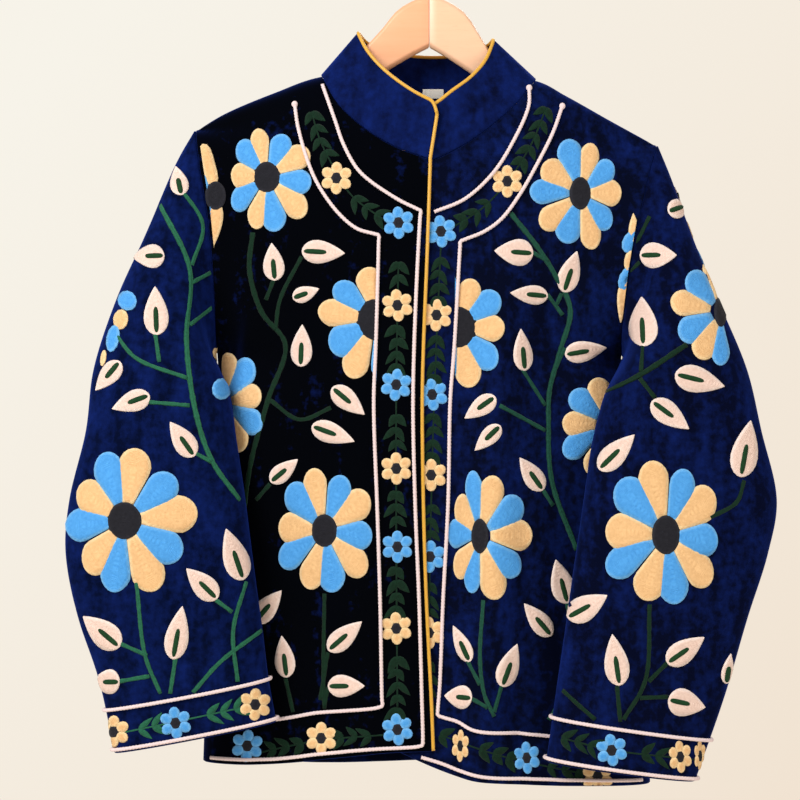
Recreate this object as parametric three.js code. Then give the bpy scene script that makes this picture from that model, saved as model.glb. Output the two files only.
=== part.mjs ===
// A suzani jacket on a wooden hanger: a navy velvet coat with a stand collar, an open front
// that laps wearer's right over left, two long sleeves, gold piping and couched pink cords.
// Millimetres, +Z up. The front faces -Y, wearer's right is -X, and the origin is the inner
// top of the hook. Every piece of cloth is a wall of even thickness round its middle surface.
import * as THREE from 'three';

const WALL = 2;                // velvet with its cotton backing
const SEAM_HALF = 0.95;        // half the parting of two panels at a seam
const LAP = 1.8;               // each front's shift off the middle surface where they lap
const LAP_WIDTH = 110;         // how far from the centre that shift fades out
const RIDGE_RADIUS = 9;        // rounding of the cloth over the hanger
const FRONT_FALL = 90;         // height over which the front swells below the shoulder
const BACK_FALL = 34;          // the same on the back
const BACK_FULL = 42;          // depth of the back behind the middle plane
const PANEL_POWER = 2.5;       // squareness of the body's cross section
const NECK_SHARE = 0.5;        // share of a panel's top edge that is neckline
const ARMHOLE_DEPTH = 25;      // half the depth of the armhole
const ARMHOLE_POWER = 2.2;
const ARMHOLE_BLEND = 6;       // how near the armhole the panel takes up its depth
const UNDERARM_BLEND = 50;     // height below the underarm where the side seam rounds over
const SLEEVE_POWER = 2.1;
const SLEEVE_GAP = 1.5;        // sleeve's middle surface off the armhole edge
const COLLAR_GAP = 2;          // collar's middle surface above the neck seam
const PIPING_RADIUS = 1.8;
const PIPING_GAP = 0.5;        // piping off the edge that it finishes
const PIPING_SIDES = 6;
const FRONT_PIPING_STEPS = 40;
const COLLAR_PIPING_HEIGHTS = [0.93, 0.72, 0.48, 0.24, 0];  // up each front end of the collar
const INSIDE = 0.03;           // share inwards from an edge that tells which way is out
const CORD_WIDTH = 4;
const CORD_HEIGHT = 2.4;
const CORD_LIFT = 1.1;         // clearance of a cord above the wall it lies on

// Outline tables. out is the distance from the centre line towards the piece's own side,
// up is the height. The fronts differ because the jacket hangs a little askew.
const SHOULDER = {
  right: [
    { out: 0, up: -135 }, { out: 101, up: -139.5 }, { out: 145, up: -154.6 },
    { out: 192, up: -174.4 }, { out: 219, up: -190.4 },
  ],
  left: [
    { out: 0, up: -139 }, { out: 99.6, up: -143.3 }, { out: 128, up: -157.4 },
    { out: 170, up: -181 }, { out: 213, up: -204.5 },
  ],
};
const FRONT_NECK = {
  right: [
    { out: 1.7, up: -221 }, { out: 32, up: -209.6 }, { out: 60, up: -192 },
    { out: 85.5, up: -167.6 }, { out: 101, up: -139.5 },
  ],
  left: [
    { out: -24, up: -229 }, { out: 0, up: -223 }, { out: 28, up: -209.6 },
    { out: 56, up: -190 }, { out: 80, up: -168 }, { out: 99.6, up: -143.3 },
  ],
};
const BACK_NECK = {
  right: [
    { out: 0, up: -166 }, { out: 45, up: -162 }, { out: 75, up: -154 },
    { out: 93, up: -146 }, { out: 101, up: -139.5 },
  ],
  left: [
    { out: 0, up: -166 }, { out: 45, up: -163 }, { out: 75, up: -156 },
    { out: 92, up: -149 }, { out: 99.6, up: -143.3 },
  ],
};
// Armhole down to the underarm, then the side seam
const SIDE_EDGE = {
  right: [
    { up: -190.4, out: 219 }, { up: -223.6, out: 214.3 }, { up: -266, out: 207 },
    { up: -301, out: 203 }, { up: -350, out: 200 }, { up: -396, out: 199 },
    { up: -430, out: 197 }, { up: -560, out: 202 }, { up: -700, out: 209 },
    { up: -785, out: 212 },
  ],
  left: [
    { up: -204.5, out: 213 }, { up: -224, out: 206 }, { up: -255, out: 199 },
    { up: -277, out: 194 }, { up: -323, out: 186 }, { up: -379, out: 179 },
    { up: -400, out: 180 }, { up: -450, out: 183 }, { up: -560, out: 190 },
    { up: -700, out: 200 }, { up: -803, out: 207 },
  ],
};
const UNDERARM = { right: -396, left: -400 };
const FRONT_EDGE = {
  right: [
    { up: -221, out: 1.7 }, { up: -305, out: 4.6 }, { up: -397, out: 8.3 },
    { up: -443, out: 9.3 }, { up: -535, out: 8.3 }, { up: -627, out: 5.5 },
    { up: -719, out: 0.9 }, { up: -766, out: -1 },
  ],
  left: [{ up: -229, out: -24 }, { up: -767, out: -28 }],
};
const HEM = {
  right: [
    { out: -1, up: -765.8 }, { out: 42, up: -767.6 }, { out: 83, up: -772 },
    { out: 120, up: -776.7 }, { out: 166, up: -780.4 }, { out: 212, up: -781 },
  ],
  left: [
    { out: -28, up: -767 }, { out: -12, up: -774.5 }, { out: 5, up: -782 },
    { out: 23, up: -788.8 }, { out: 41, up: -794 }, { out: 92, up: -797.5 },
    { out: 157, up: -800 }, { out: 207, up: -801.5 },
  ],
};
const BACK_HEM = {
  right: [{ out: 0, up: -788 }, { out: 110, up: -790 }, { out: 212, up: -781 }],
  left: [{ out: 0, up: -788 }, { out: 110, up: -793 }, { out: 207, up: -801.5 }],
};
// Depth of the front before the middle plane, at the centre
const FRONT_FULL = [
  { up: -350, depth: 57 }, { up: -440, depth: 57 }, { up: -530, depth: 55 },
  { up: -630, depth: 51 }, { up: -720, depth: 47 }, { up: -790, depth: 45 },
];
// Large folds: a crest or trough that runs from a top point to a bottom point
const FOLDS = {
  right: [
    { out0: 176, up0: -270, out1: 168, up1: -430, width: 15, swell: 8 },
    { out0: 120, up0: -260, out1: 112, up1: -800, width: 30, swell: -6 },
    { out0: 62, up0: -470, out1: 72, up1: -820, width: 22, swell: 4 },
  ],
  left: [
    { out0: 70, up0: -290, out1: 50, up1: -820, width: 20, swell: 9 },
    { out0: 112, up0: -250, out1: 128, up1: -780, width: 24, swell: -8 },
  ],
};
const BACK_FOLDS = {
  right: [
    { out0: 150, up0: -240, out1: 140, up1: -820, width: 26, swell: 7 },
    { out0: 88, up0: -300, out1: 76, up1: -800, width: 26, swell: -6 },
  ],
  left: [
    { out0: 142, up0: -250, out1: 128, up1: -820, width: 24, swell: 7 },
    { out0: 70, up0: -330, out1: 62, up1: -800, width: 28, swell: -5 },
  ],
};
// Sleeve rings: outer fold point, inner fold point and half the depth between them
const SLEEVE_RINGS = {
  right: [
    { ox: -236, oy: -4, oz: -219, ix: -203.8, iy: -13, iz: -402, half: 30 },
    { ox: -266, oy: -15, oz: -293, ix: -197, iy: -33, iz: -413, half: 34 },
    { ox: -290, oy: -25, oz: -350, ix: -186, iy: -47, iz: -437, half: 34 },
    { ox: -310, oy: -35, oz: -415, ix: -179, iy: -52, iz: -480, half: 33 },
    { ox: -316, oy: -44, oz: -471, ix: -171, iy: -57, iz: -530, half: 31 },
    { ox: -330, oy: -54, oz: -535, ix: -165, iy: -60, iz: -575, half: 30 },
    { ox: -333, oy: -58, oz: -580, ix: -160, iy: -61, iz: -612, half: 28 },
    { ox: -323, oy: -61, oz: -635, ix: -154, iy: -61, iz: -655, half: 26 },
    { ox: -302, oy: -61, oz: -699, ix: -149, iy: -60, iz: -697, half: 23 },
    { ox: -288, oy: -60, oz: -765, ix: -142, iy: -58, iz: -737, half: 18.6 },
  ],
  left: [
    { ox: 225, oy: -4, oz: -232, ix: 182, iy: -15, iz: -404, half: 29 },
    { ox: 247, oy: -14, oz: -298, ix: 176, iy: -36, iz: -414, half: 34 },
    { ox: 266, oy: -24, oz: -350, ix: 162, iy: -57, iz: -438, half: 35 },
    { ox: 292, oy: -35, oz: -415, ix: 150, iy: -62, iz: -480, half: 34 },
    { ox: 304, oy: -45, oz: -471, ix: 143, iy: -66, iz: -522, half: 32 },
    { ox: 317, oy: -54, oz: -535, ix: 137, iy: -68, iz: -562, half: 30 },
    { ox: 308, oy: -60, oz: -583, ix: 131, iy: -68, iz: -602, half: 29 },
    { ox: 289, oy: -64, oz: -641, ix: 124, iy: -68, iz: -652, half: 27 },
    { ox: 268, oy: -65, oz: -712, ix: 116, iy: -67, iz: -707, half: 24 },
    { ox: 241, oy: -64, oz: -790, ix: 107, iy: -66, iz: -772, half: 21 },
  ],
};
// Top edge of the collar from the lapping end round the back to the lapped end
const COLLAR_TOP = [
  { x: 6, y: -34, z: -170 }, { x: -18, y: -31, z: -157 }, { x: -43.5, y: -24, z: -137 },
  { x: -60, y: -14, z: -117 }, { x: -68, y: 0, z: -99 }, { x: -60, y: 13, z: -106 },
  { x: -36, y: 24, z: -114 }, { x: 0, y: 28, z: -118 }, { x: 34, y: 24, z: -116 },
  { x: 56, y: 13, z: -109 }, { x: 61.5, y: 0, z: -105.5 }, { x: 54, y: -15, z: -126 },
  { x: 40, y: -23, z: -143 }, { x: 22, y: -29, z: -157 }, { x: 5, y: -32, z: -170 },
  { x: -16, y: -33, z: -179 },
];
const COLLAR_QUARTERS = [0, 4, 7, 10, 15];  // rows of that table above the four panels' seams
// Couched cords on the fronts, as routes over the panel
const CORD_ROUTES = {
  inner_right: [
    { out: 100, up: -149 }, { out: 88, up: -183 }, { out: 80, up: -206 },
    { out: 67.5, up: -229 }, { out: 55.5, up: -241 }, { out: 28, up: -259.5 },
    { out: 12, up: -267.5 }, { out: 8.6, up: -269.5 }, { out: 9, up: -274 },
    { out: 13, up: -351 }, { out: 15.6, up: -443 }, { out: 13.8, up: -535 },
    { out: 10.1, up: -627 }, { out: 7.5, up: -719 }, { out: 6.6, up: -756 },
    { out: 7, up: -760 }, { out: 11, up: -761.5 }, { out: 60, up: -764.5 },
    { out: 102, up: -769.5 }, { out: 153, up: -775.5 }, { out: 203, up: -776.5 },
  ],
  outer_right: [
    { out: 125.6, up: -167.5 }, { out: 122, up: -190 }, { out: 112, up: -224 },
    { out: 102, up: -246 }, { out: 84, up: -271 }, { out: 67, up: -285.5 },
    { out: 51, up: -290.5 }, { out: 47, up: -292 }, { out: 47, up: -297 },
    { out: 49.7, up: -397 }, { out: 51.5, up: -443 }, { out: 48.8, up: -535 },
    { out: 46, up: -627 }, { out: 44.2, up: -719 }, { out: 43.8, up: -723.5 },
    { out: 48, up: -725.5 }, { out: 63, up: -727.5 }, { out: 106, up: -732 },
    { out: 145, up: -738.5 }, { out: 203, up: -741 },
  ],
  inner_left: [
    { out: 93, up: -152 }, { out: 92, up: -170 }, { out: 76, up: -206 },
    { out: 58, up: -234 }, { out: 32, up: -258 }, { out: 4, up: -270 },
  ],
  outer_left: [
    { out: 123.6, up: -169 }, { out: 114, up: -195 }, { out: 99.5, up: -224 },
    { out: 83, up: -253 }, { out: 66, up: -276 }, { out: 50, up: -288 },
    { out: 32, up: -295.5 }, { out: 28, up: -297.5 }, { out: 27.6, up: -302 },
    { out: 22, up: -397 }, { out: 18.5, up: -443 }, { out: 16.6, up: -535 },
    { out: 12, up: -627 }, { out: 9, up: -705 }, { out: 7.2, up: -729 },
    { out: 7.4, up: -733 }, { out: 12, up: -735 }, { out: 26, up: -739 },
    { out: 41, up: -746 }, { out: 83, up: -750 }, { out: 145, up: -757 },
    { out: 197, up: -762 },
  ],
  hem_left: [
    { out: -8, up: -772 }, { out: 10, up: -777.5 }, { out: 30, up: -785 },
    { out: 52, up: -790 }, { out: 113, up: -793 }, { out: 197, up: -797 },
  ],
};
const CORD_STEP = 12;           // spacing of the sections of a cord on a front
const BACK_CORD_STEPS = 28;
const BACK_CORD_SHORT = 9;      // how far the back's cords stop short of the side seams
const HEM_BAND = [8, 46];       // cords of the hem band above the hem, on the back
const CUFF_BAND = [3, 40];      // cords of the cuff band above the sleeve's edge
const CUFF_CORD_STEPS = 32;

// Wooden hanger: lower line of each arm from the middle outwards, and its upper line as far
// as the neck, from where it follows the shoulder
const ARM_THICK = 12;
const ARM_CHAMFER = 3.5;
const ARM_DROP = 5.2;          // top of the arm below the shoulder line that it carries
const ARM_END = { right: 193, left: 189 };
const ARM_STEPS = 26;
const ARM_TOP = {
  right: [
    { out: 0.2, up: -62 }, { out: 13, up: -66 }, { out: 30, up: -76 },
    { out: 44, up: -93 }, { out: 60, up: -110 }, { out: 80, up: -128 },
  ],
  left: [
    { out: 0.2, up: -62 }, { out: 16, up: -67 }, { out: 33, up: -78 },
    { out: 46, up: -97 }, { out: 55, up: -112 }, { out: 64, up: -123 },
    { out: 80, up: -137 },
  ],
};
const ARM_UNDER = {
  right: [
    { out: 0.2, up: -111 }, { out: 14, up: -118 }, { out: 43, up: -135 },
    { out: 100, up: -170 }, { out: 150, up: -187 }, { out: 199, up: -204 },
  ],
  left: [
    { out: 0.2, up: -111 }, { out: 14, up: -119 }, { out: 41, up: -137 },
    { out: 98, up: -177 }, { out: 145, up: -199 }, { out: 192, up: -221 },
  ],
};
const WIRE = 3.2;              // hook wire diameter
const HOOK_RADIUS = 21;        // middle of the wire, round the rail
const HOOK_TIP = 205;          // angle of the open end, degrees from +X
const HOOK_TURN = -42;         // angle where the wire leaves the arc for the stem
const HOOK_ARC_STEPS = 14;
const HOOK_STEPS = 44;
// The wire from the arc down to the wood
const HOOK_STEM = [
  { out: 7, up: -40 }, { out: 1.2, up: -46 }, { out: 0, up: -50 }, { out: 0, up: -61.6 },
];
const LABEL = { wide: 20, high: 9, thick: 0.8, lift: 1.5, x: 4, up: 0.28 };

const COLOURS = {
  velvet: 0x121c52, velvet_dark: 0x0d1640, gold: 0xe2ae3a, pink: 0xf2dde0,
  beech_warm: 0xf2bb7a, beech_pale: 0xf9cd97, wire: 0xb8bcc0, label: 0xf4f1ea,
};

function material(colour, roughness, metalness = 0) {
  return new THREE.MeshStandardMaterial({ color: colour, roughness, metalness });
}

function smooth(t) {
  const c = Math.min(1, Math.max(0, t));
  return c * c * (3 - 2 * c);
}

// Value of column value at key in a table that is sorted by column by, up or down
function lookup(table, by, value, key) {
  const last = table.length - 1;
  const sign = Math.sign(table[last][by] - table[0][by]);
  if (sign * (key - table[0][by]) <= 0) return table[0][value];
  for (let i = 0; i < last; i += 1) {
    const a = table[i];
    const b = table[i + 1];
    if (sign * (key - b[by]) <= 0) {
      const t = (key - a[by]) / (b[by] - a[by]);
      return a[value] + (b[value] - a[value]) * t;
    }
  }
  return table[last][value];
}

function spline(table) {
  const points = table.map((p) => new THREE.Vector3(p.out, p.up, 0));
  return new THREE.CatmullRomCurve3(points, false, 'centripetal');
}

// The same table with points between, on a smooth curve through its rows
function dense(table) {
  return spline(table).getPoints(table.length * 12).map((p) => ({ out: p.x, up: p.y }));
}

function densePair(pair) {
  return { right: dense(pair.right), left: dense(pair.left) };
}

const shoulder = densePair(SHOULDER);
const sideEdge = densePair(SIDE_EDGE);
const frontEdge = densePair(FRONT_EDGE);
const hems = { front: densePair(HEM), back: densePair(BACK_HEM) };
const neckCurves = {
  front: { right: spline(FRONT_NECK.right), left: spline(FRONT_NECK.left) },
  back: { right: spline(BACK_NECK.right), left: spline(BACK_NECK.left) },
};
const shoulderCurves = {
  right: spline(SHOULDER.right.slice(1)),
  left: spline(SHOULDER.left.slice(1)),
};

const SIGN = { right: -1, left: 1 };

function foldSwell(folds, out, up) {
  let swell = 0;
  for (const fold of folds) {
    const t = (fold.up0 - up) / (fold.up0 - fold.up1);
    if (t > 0 && t < 1) {
      const centre = fold.out0 + (fold.out1 - fold.out0) * t;
      const across = (out - centre) / fold.width;
      swell += fold.swell * Math.exp(-across * across) * smooth(t * 4) * smooth((1 - t) * 6);
    }
  }
  return swell;
}

// Half the depth of the armhole at a height, nothing below the underarm
function armholeDepth(side, up) {
  const top = SIDE_EDGE[side][0].up;
  const t = (top - up) / (top - UNDERARM[side]);
  if (t <= 0 || t >= 1) return 0;
  return ARMHOLE_DEPTH * (1 - Math.abs(2 * t - 1) ** ARMHOLE_POWER) ** (1 / ARMHOLE_POWER);
}

// Distance of the body's middle surface from the middle plane
function bodyDepth(face, side, out, up) {
  const reach = Math.abs(out);
  const drop = Math.max(0, lookup(shoulder[side], 'out', 'up', reach) - up);
  const turned = 1 - Math.min(drop / RIDGE_RADIUS, 1);
  const ridge = RIDGE_RADIUS * Math.sqrt(1 - turned * turned);
  const full = face === 'front' ? lookup(FRONT_FULL, 'up', 'depth', up) : BACK_FULL;
  const fall = face === 'front' ? FRONT_FALL : BACK_FALL;
  const share = Math.min(1, reach / lookup(sideEdge[side], 'up', 'out', up));
  const folds = face === 'front' ? FOLDS : BACK_FOLDS;
  const swell = foldSwell(folds[side], out, up) * (1 - share ** 8);
  const deep = ridge + (full - RIDGE_RADIUS) * (1 - Math.exp(-drop / fall)) + swell;
  const armhole = armholeDepth(side, up);
  const above = ridge + (deep - ridge) * (1 - share ** PANEL_POWER)
    + (armhole - ridge) * share ** ARMHOLE_BLEND;
  const below = deep * (1 - share ** PANEL_POWER) ** (1 / PANEL_POWER);
  const lower = smooth((UNDERARM[side] - up) / UNDERARM_BLEND);
  return SEAM_HALF + above + (below - above) * lower;
}

// A point of the body's middle surface, from its place in the front view
function bodyPoint(face, side, out, up) {
  const depth = bodyDepth(face, side, out, up);
  const lapping = smooth(1 - Math.abs(out) / LAP_WIDTH) * LAP;
  if (face === 'front') {
    return new THREE.Vector3(SIGN[side] * out, -depth + SIGN[side] * lapping, up);
  }
  return new THREE.Vector3(SIGN[side] * out, depth, up);
}

// The point moved out along the surface's normal
function bodyLifted(face, side, out, up, lift) {
  const step = 2;
  const point = bodyPoint(face, side, out, up);
  const across = bodyPoint(face, side, out + step, up).sub(bodyPoint(face, side, out - step, up));
  const down = bodyPoint(face, side, out, up - step).sub(bodyPoint(face, side, out, up + step));
  const normal = across.cross(down).normalize();
  if (normal.y * (face === 'front' ? -1 : 1) < 0) normal.negate();
  return point.addScaledVector(normal, lift);
}

// Places of a panel's columns across it and rows down it, closest at the folds over
const COLUMNS = [0, 0.09, 0.18, 0.27, 0.36, 0.44, 0.5, 0.57, 0.64, 0.71, 0.78, 0.85, 0.92, 0.97, 1];
const ROWS = [
  0, 0.003, 0.009, 0.02, 0.045, 0.08, 0.12, 0.165, 0.21, 0.255, 0.3, 0.35, 0.4, 0.45, 0.5,
  0.56, 0.62, 0.68, 0.74, 0.8, 0.86, 0.92, 0.965, 1,
];

function panelSpread(u) {
  return 0.5 * u + 0.5 * (1 - (1 - u) * (1 - u));
}

function panelPoint(face, side, u, v) {
  const onNeck = u < NECK_SHARE;
  const share = onNeck ? u / NECK_SHARE : (u - NECK_SHARE) / (1 - NECK_SHARE);
  const top = (onNeck ? neckCurves[face][side] : shoulderCurves[side]).getPointAt(share);
  if (!onNeck) top.y = lookup(shoulder[side], 'out', 'up', top.x);
  const inner = (up) => (face === 'front' ? lookup(frontEdge[side], 'up', 'out', up) : 0);
  const full = (up) => {
    const start = inner(up);
    return start + (lookup(sideEdge[side], 'up', 'out', up) - start) * panelSpread(u);
  };
  const hem = hems[face][side];
  const foot = lookup(hem, 'out', 'up', full(hem[0].up));
  const up = top.y + (foot - top.y) * v;
  const out = full(up) + (1 - smooth(v / 0.4)) * (top.x - full(top.y));
  return bodyPoint(face, side, out, up);
}

// A closed wall round a grid of middle points: grid[column][row]
function wall(grid, thickness, flip, closed = false) {
  const columns = grid.length;
  const rows = grid[0].length;
  const pick = (i, j) => {
    const column = closed ? (i + columns) % columns : Math.min(columns - 1, Math.max(0, i));
    return grid[column][Math.min(rows - 1, Math.max(0, j))];
  };
  const positions = [];
  for (const layer of [1, -1]) {
    for (let i = 0; i < columns; i += 1) {
      for (let j = 0; j < rows; j += 1) {
        const across = pick(i + 1, j).clone().sub(pick(i - 1, j));
        const down = pick(i, j + 1).clone().sub(pick(i, j - 1));
        const normal = across.cross(down).normalize().multiplyScalar(flip ? -1 : 1);
        const point = pick(i, j).clone().addScaledVector(normal, (layer * thickness) / 2);
        positions.push(point.x, point.y, point.z);
      }
    }
  }
  const index = (layer, i, j) => layer * columns * rows + (i % columns) * rows + j;
  const faces = [];
  const quad = (a, b, c, d) => {
    if (flip) faces.push(a, b, c, a, c, d);
    else faces.push(a, c, b, a, d, c);
  };
  const spans = closed ? columns : columns - 1;
  for (let i = 0; i < spans; i += 1) {
    for (let j = 0; j < rows - 1; j += 1) {
      quad(index(0, i, j), index(0, i, j + 1), index(0, i + 1, j + 1), index(0, i + 1, j));
      quad(index(1, i, j), index(1, i + 1, j), index(1, i + 1, j + 1), index(1, i, j + 1));
    }
    quad(index(0, i, 0), index(0, i + 1, 0), index(1, i + 1, 0), index(1, i, 0));
    const end = rows - 1;
    quad(index(0, i, end), index(1, i, end), index(1, i + 1, end), index(0, i + 1, end));
  }
  if (!closed) {
    const end = columns - 1;
    for (let j = 0; j < rows - 1; j += 1) {
      quad(index(0, 0, j), index(1, 0, j), index(1, 0, j + 1), index(0, 0, j + 1));
      quad(index(0, end, j), index(0, end, j + 1), index(1, end, j + 1), index(1, end, j));
    }
  }
  return solid(positions, faces);
}

function solid(positions, faces) {
  const geometry = new THREE.BufferGeometry();
  geometry.setAttribute('position', new THREE.Float32BufferAttribute(positions, 3));
  geometry.setIndex(faces);
  geometry.computeVertexNormals();
  return geometry;
}

// A closed bar through rings of points, all with the same number of points
function loft(rings, closed = false) {
  const count = rings.length;
  const sides = rings[0].length;
  const positions = rings.flat().flatMap((p) => [p.x, p.y, p.z]);
  const faces = [];
  const spans = closed ? count : count - 1;
  for (let i = 0; i < spans; i += 1) {
    for (let k = 0; k < sides; k += 1) {
      const a = i * sides + k;
      const b = i * sides + ((k + 1) % sides);
      const c = ((i + 1) % count) * sides + ((k + 1) % sides);
      const d = ((i + 1) % count) * sides + k;
      faces.push(a, c, b, a, d, c);
    }
  }
  if (!closed) {
    const end = (count - 1) * sides;
    for (let k = 1; k < sides - 1; k += 1) {
      faces.push(0, k, k + 1, end, end + k + 1, end + k);
    }
  }
  return solid(positions, faces);
}

// A strand swept along points; each point has the direction that is up for its section
function strand(points, ups, section, closed = false) {
  const count = points.length;
  const rings = points.map((point, i) => {
    const before = points[closed ? (i - 1 + count) % count : Math.max(0, i - 1)];
    const after = points[closed ? (i + 1) % count : Math.min(count - 1, i + 1)];
    const along = after.clone().sub(before).normalize();
    const side = along.clone().cross(ups[i]).normalize();
    const rise = side.clone().cross(along).normalize();
    return section.map(([across, high]) => (
      point.clone().addScaledVector(side, across).addScaledVector(rise, high)
    ));
  });
  return loft(rings, closed);
}

function roundSection(radius, sides) {
  const section = [];
  for (let k = 0; k < sides; k += 1) {
    const angle = (2 * Math.PI * k) / sides;
    section.push([radius * Math.cos(angle), radius * Math.sin(angle)]);
  }
  return section;
}

// Flat underside and sloped top, as a couched cord pressed onto cloth
function cordSection() {
  const half = CORD_WIDTH / 2;
  return [[half, 0], [half * 0.55, CORD_HEIGHT], [-half * 0.55, CORD_HEIGHT], [-half, 0]];
}

// Points a step apart along a route of out and up values
function stepped(route, step) {
  const curve = spline(route);
  return curve.getSpacedPoints(Math.round(curve.getLength() / step));
}

function frontCord(side, route) {
  const points = [];
  const ups = [];
  for (const place of stepped(route, CORD_STEP)) {
    const foot = bodyPoint('front', side, place.x, place.y);
    const point = bodyLifted('front', side, place.x, place.y, WALL / 2 + CORD_LIFT);
    points.push(point);
    ups.push(point.clone().sub(foot).normalize());
  }
  return strand(points, ups, cordSection());
}

function backCord(above) {
  const points = [];
  const ups = [];
  for (let i = 0; i <= BACK_CORD_STEPS; i += 1) {
    const span = -1 + (2 * i) / BACK_CORD_STEPS;
    const side = span < 0 ? 'right' : 'left';
    const edge = SIDE_EDGE[side][SIDE_EDGE[side].length - 1].out;
    const out = Math.abs(span) * (edge - BACK_CORD_SHORT);
    const up = lookup(hems.back[side], 'out', 'up', out) + above;
    const foot = bodyPoint('back', side, out, up);
    const point = bodyLifted('back', side, out, up, WALL / 2 + CORD_LIFT);
    points.push(point);
    ups.push(point.clone().sub(foot).normalize());
  }
  return strand(points, ups, cordSection());
}

const sleeveCurves = {};
for (const side of ['right', 'left']) {
  const rings = SLEEVE_RINGS[side];
  const first = {
    o: new THREE.Vector3(SIGN[side] * (SIDE_EDGE[side][0].out + SLEEVE_GAP), 0, SIDE_EDGE[side][0].up),
    i: new THREE.Vector3(
      SIGN[side] * (lookup(sideEdge[side], 'up', 'out', UNDERARM[side]) + SLEEVE_GAP), 0, UNDERARM[side],
    ),
  };
  sleeveCurves[side] = {
    outer: new THREE.CatmullRomCurve3([first.o, ...rings.map((r) => new THREE.Vector3(r.ox, r.oy, r.oz))]),
    inner: new THREE.CatmullRomCurve3([first.i, ...rings.map((r) => new THREE.Vector3(r.ix, r.iy, r.iz))]),
    halves: [ARMHOLE_DEPTH, ...rings.map((r) => r.half)],
  };
}

// A point of the sleeve: w runs from armhole to cuff, turn from the outer fold over the
// front to the inner fold and back behind
function sleevePoint(side, w, turn) {
  const { outer, inner, halves } = sleeveCurves[side];
  const sine = Math.sin(turn);
  const cosine = Math.cos(turn);
  if (w <= 0) {
    const top = SIDE_EDGE[side][0].up;
    const share = 0.5 - 0.5 * Math.sign(cosine) * Math.abs(cosine) ** (2 / ARMHOLE_POWER);
    const up = top + (UNDERARM[side] - top) * share;
    const out = lookup(sideEdge[side], 'up', 'out', up) + SLEEVE_GAP;
    return new THREE.Vector3(SIGN[side] * out, -Math.sign(sine) * armholeDepth(side, up), up);
  }
  const o = outer.getPoint(w);
  const i = inner.getPoint(w);
  const centre = o.clone().add(i).multiplyScalar(0.5);
  const arm = o.clone().sub(i).multiplyScalar(0.5);
  const chord = arm.clone().normalize();
  const front = new THREE.Vector3(0, -1, 0);
  front.addScaledVector(chord, -front.dot(chord)).normalize();
  const place = w * (halves.length - 1);
  const low = Math.min(halves.length - 2, Math.floor(place));
  const half = halves[low] + (halves[low + 1] - halves[low]) * (place - low);
  const a = Math.sign(cosine) * Math.abs(cosine) ** (2 / SLEEVE_POWER);
  const b = Math.sign(sine) * Math.abs(sine) ** (2 / SLEEVE_POWER);
  return centre.addScaledVector(arm, a).addScaledVector(front, b * half);
}

const SLEEVE_TURNS = 22;
const SLEEVE_STEPS = 18;

function turnAngle(k, count) {
  return (2 * Math.PI * k) / count;
}

function sleeveWall(side) {
  const grid = [];
  for (let k = 0; k < SLEEVE_TURNS; k += 1) {
    const column = [];
    for (let j = 0; j <= SLEEVE_STEPS; j += 1) {
      column.push(sleevePoint(side, j / SLEEVE_STEPS, turnAngle(k, SLEEVE_TURNS)));
    }
    grid.push(column);
  }
  return wall(grid, WALL, side === 'left', true);
}

// A cord round the cuff, the same height above the sleeve's edge all round
function cuffCord(side, above) {
  const step = 0.02;
  const last = 1 / (sleeveCurves[side].halves.length - 1);
  const points = [];
  const ups = [];
  for (let k = 0; k < CUFF_CORD_STEPS; k += 1) {
    const angle = turnAngle(k, CUFF_CORD_STEPS);
    const reach = sleevePoint(side, 1, angle).distanceTo(sleevePoint(side, 1 - last, angle));
    const w = 1 - (above / reach) * last;
    const low = Math.min(1, w + step / 2);
    const point = sleevePoint(side, w, angle);
    const along = sleevePoint(side, low, angle).sub(sleevePoint(side, low - step, angle));
    const round = sleevePoint(side, w, angle + step).sub(sleevePoint(side, w, angle - step));
    const normal = round.cross(along).normalize().multiplyScalar(side === 'left' ? 1 : -1);
    points.push(point.addScaledVector(normal, WALL / 2 + CORD_LIFT));
    ups.push(normal);
  }
  return strand(points, ups, cordSection(), true);
}

function frontWall(side) {
  const grid = COLUMNS.map((u) => ROWS.map((v) => panelPoint('front', side, u, v)));
  return wall(grid, WALL, side === 'left');
}

function backWall() {
  const grid = [];
  for (const u of [...COLUMNS].reverse()) {
    grid.push(ROWS.map((v) => panelPoint('back', 'right', u, v)));
  }
  for (const u of COLUMNS.slice(1)) {
    grid.push(ROWS.map((v) => panelPoint('back', 'left', u, v)));
  }
  return wall(grid, WALL, false);
}

// Collar: the neck seam of right front, back and left front in turn, and the top edge
const COLLAR_COLUMNS = 40;
const COLLAR_ROWS = 3;
const COLLAR_ROUND = 9;        // rounding of its two front corners

function collarFoot(t) {
  const place = t * 4;
  const neck = NECK_SHARE;
  let point;
  if (place < 1) point = panelPoint('front', 'right', place * neck, 0);
  else if (place < 2) point = panelPoint('back', 'right', (2 - place) * neck, 0);
  else if (place < 3) point = panelPoint('back', 'left', (place - 2) * neck, 0);
  else point = panelPoint('front', 'left', (4 - place) * neck, 0);
  return point.add(new THREE.Vector3(0, 0, COLLAR_GAP));
}

const collarEdge = new THREE.CatmullRomCurve3(
  COLLAR_TOP.map((p) => new THREE.Vector3(p.x, p.y, p.z)), false, 'centripetal',
);

function collarTop(t) {
  const quarter = Math.min(3, Math.floor(t * 4));
  const [from, to] = [COLLAR_QUARTERS[quarter], COLLAR_QUARTERS[quarter + 1]];
  const at = (from + (to - from) * (t * 4 - quarter)) / (COLLAR_TOP.length - 1);
  const point = collarEdge.getPoint(at);
  point.y += smooth(1 - (1 - t) * 6) * LAP - smooth(1 - t * 6) * LAP;
  return point;
}

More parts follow.
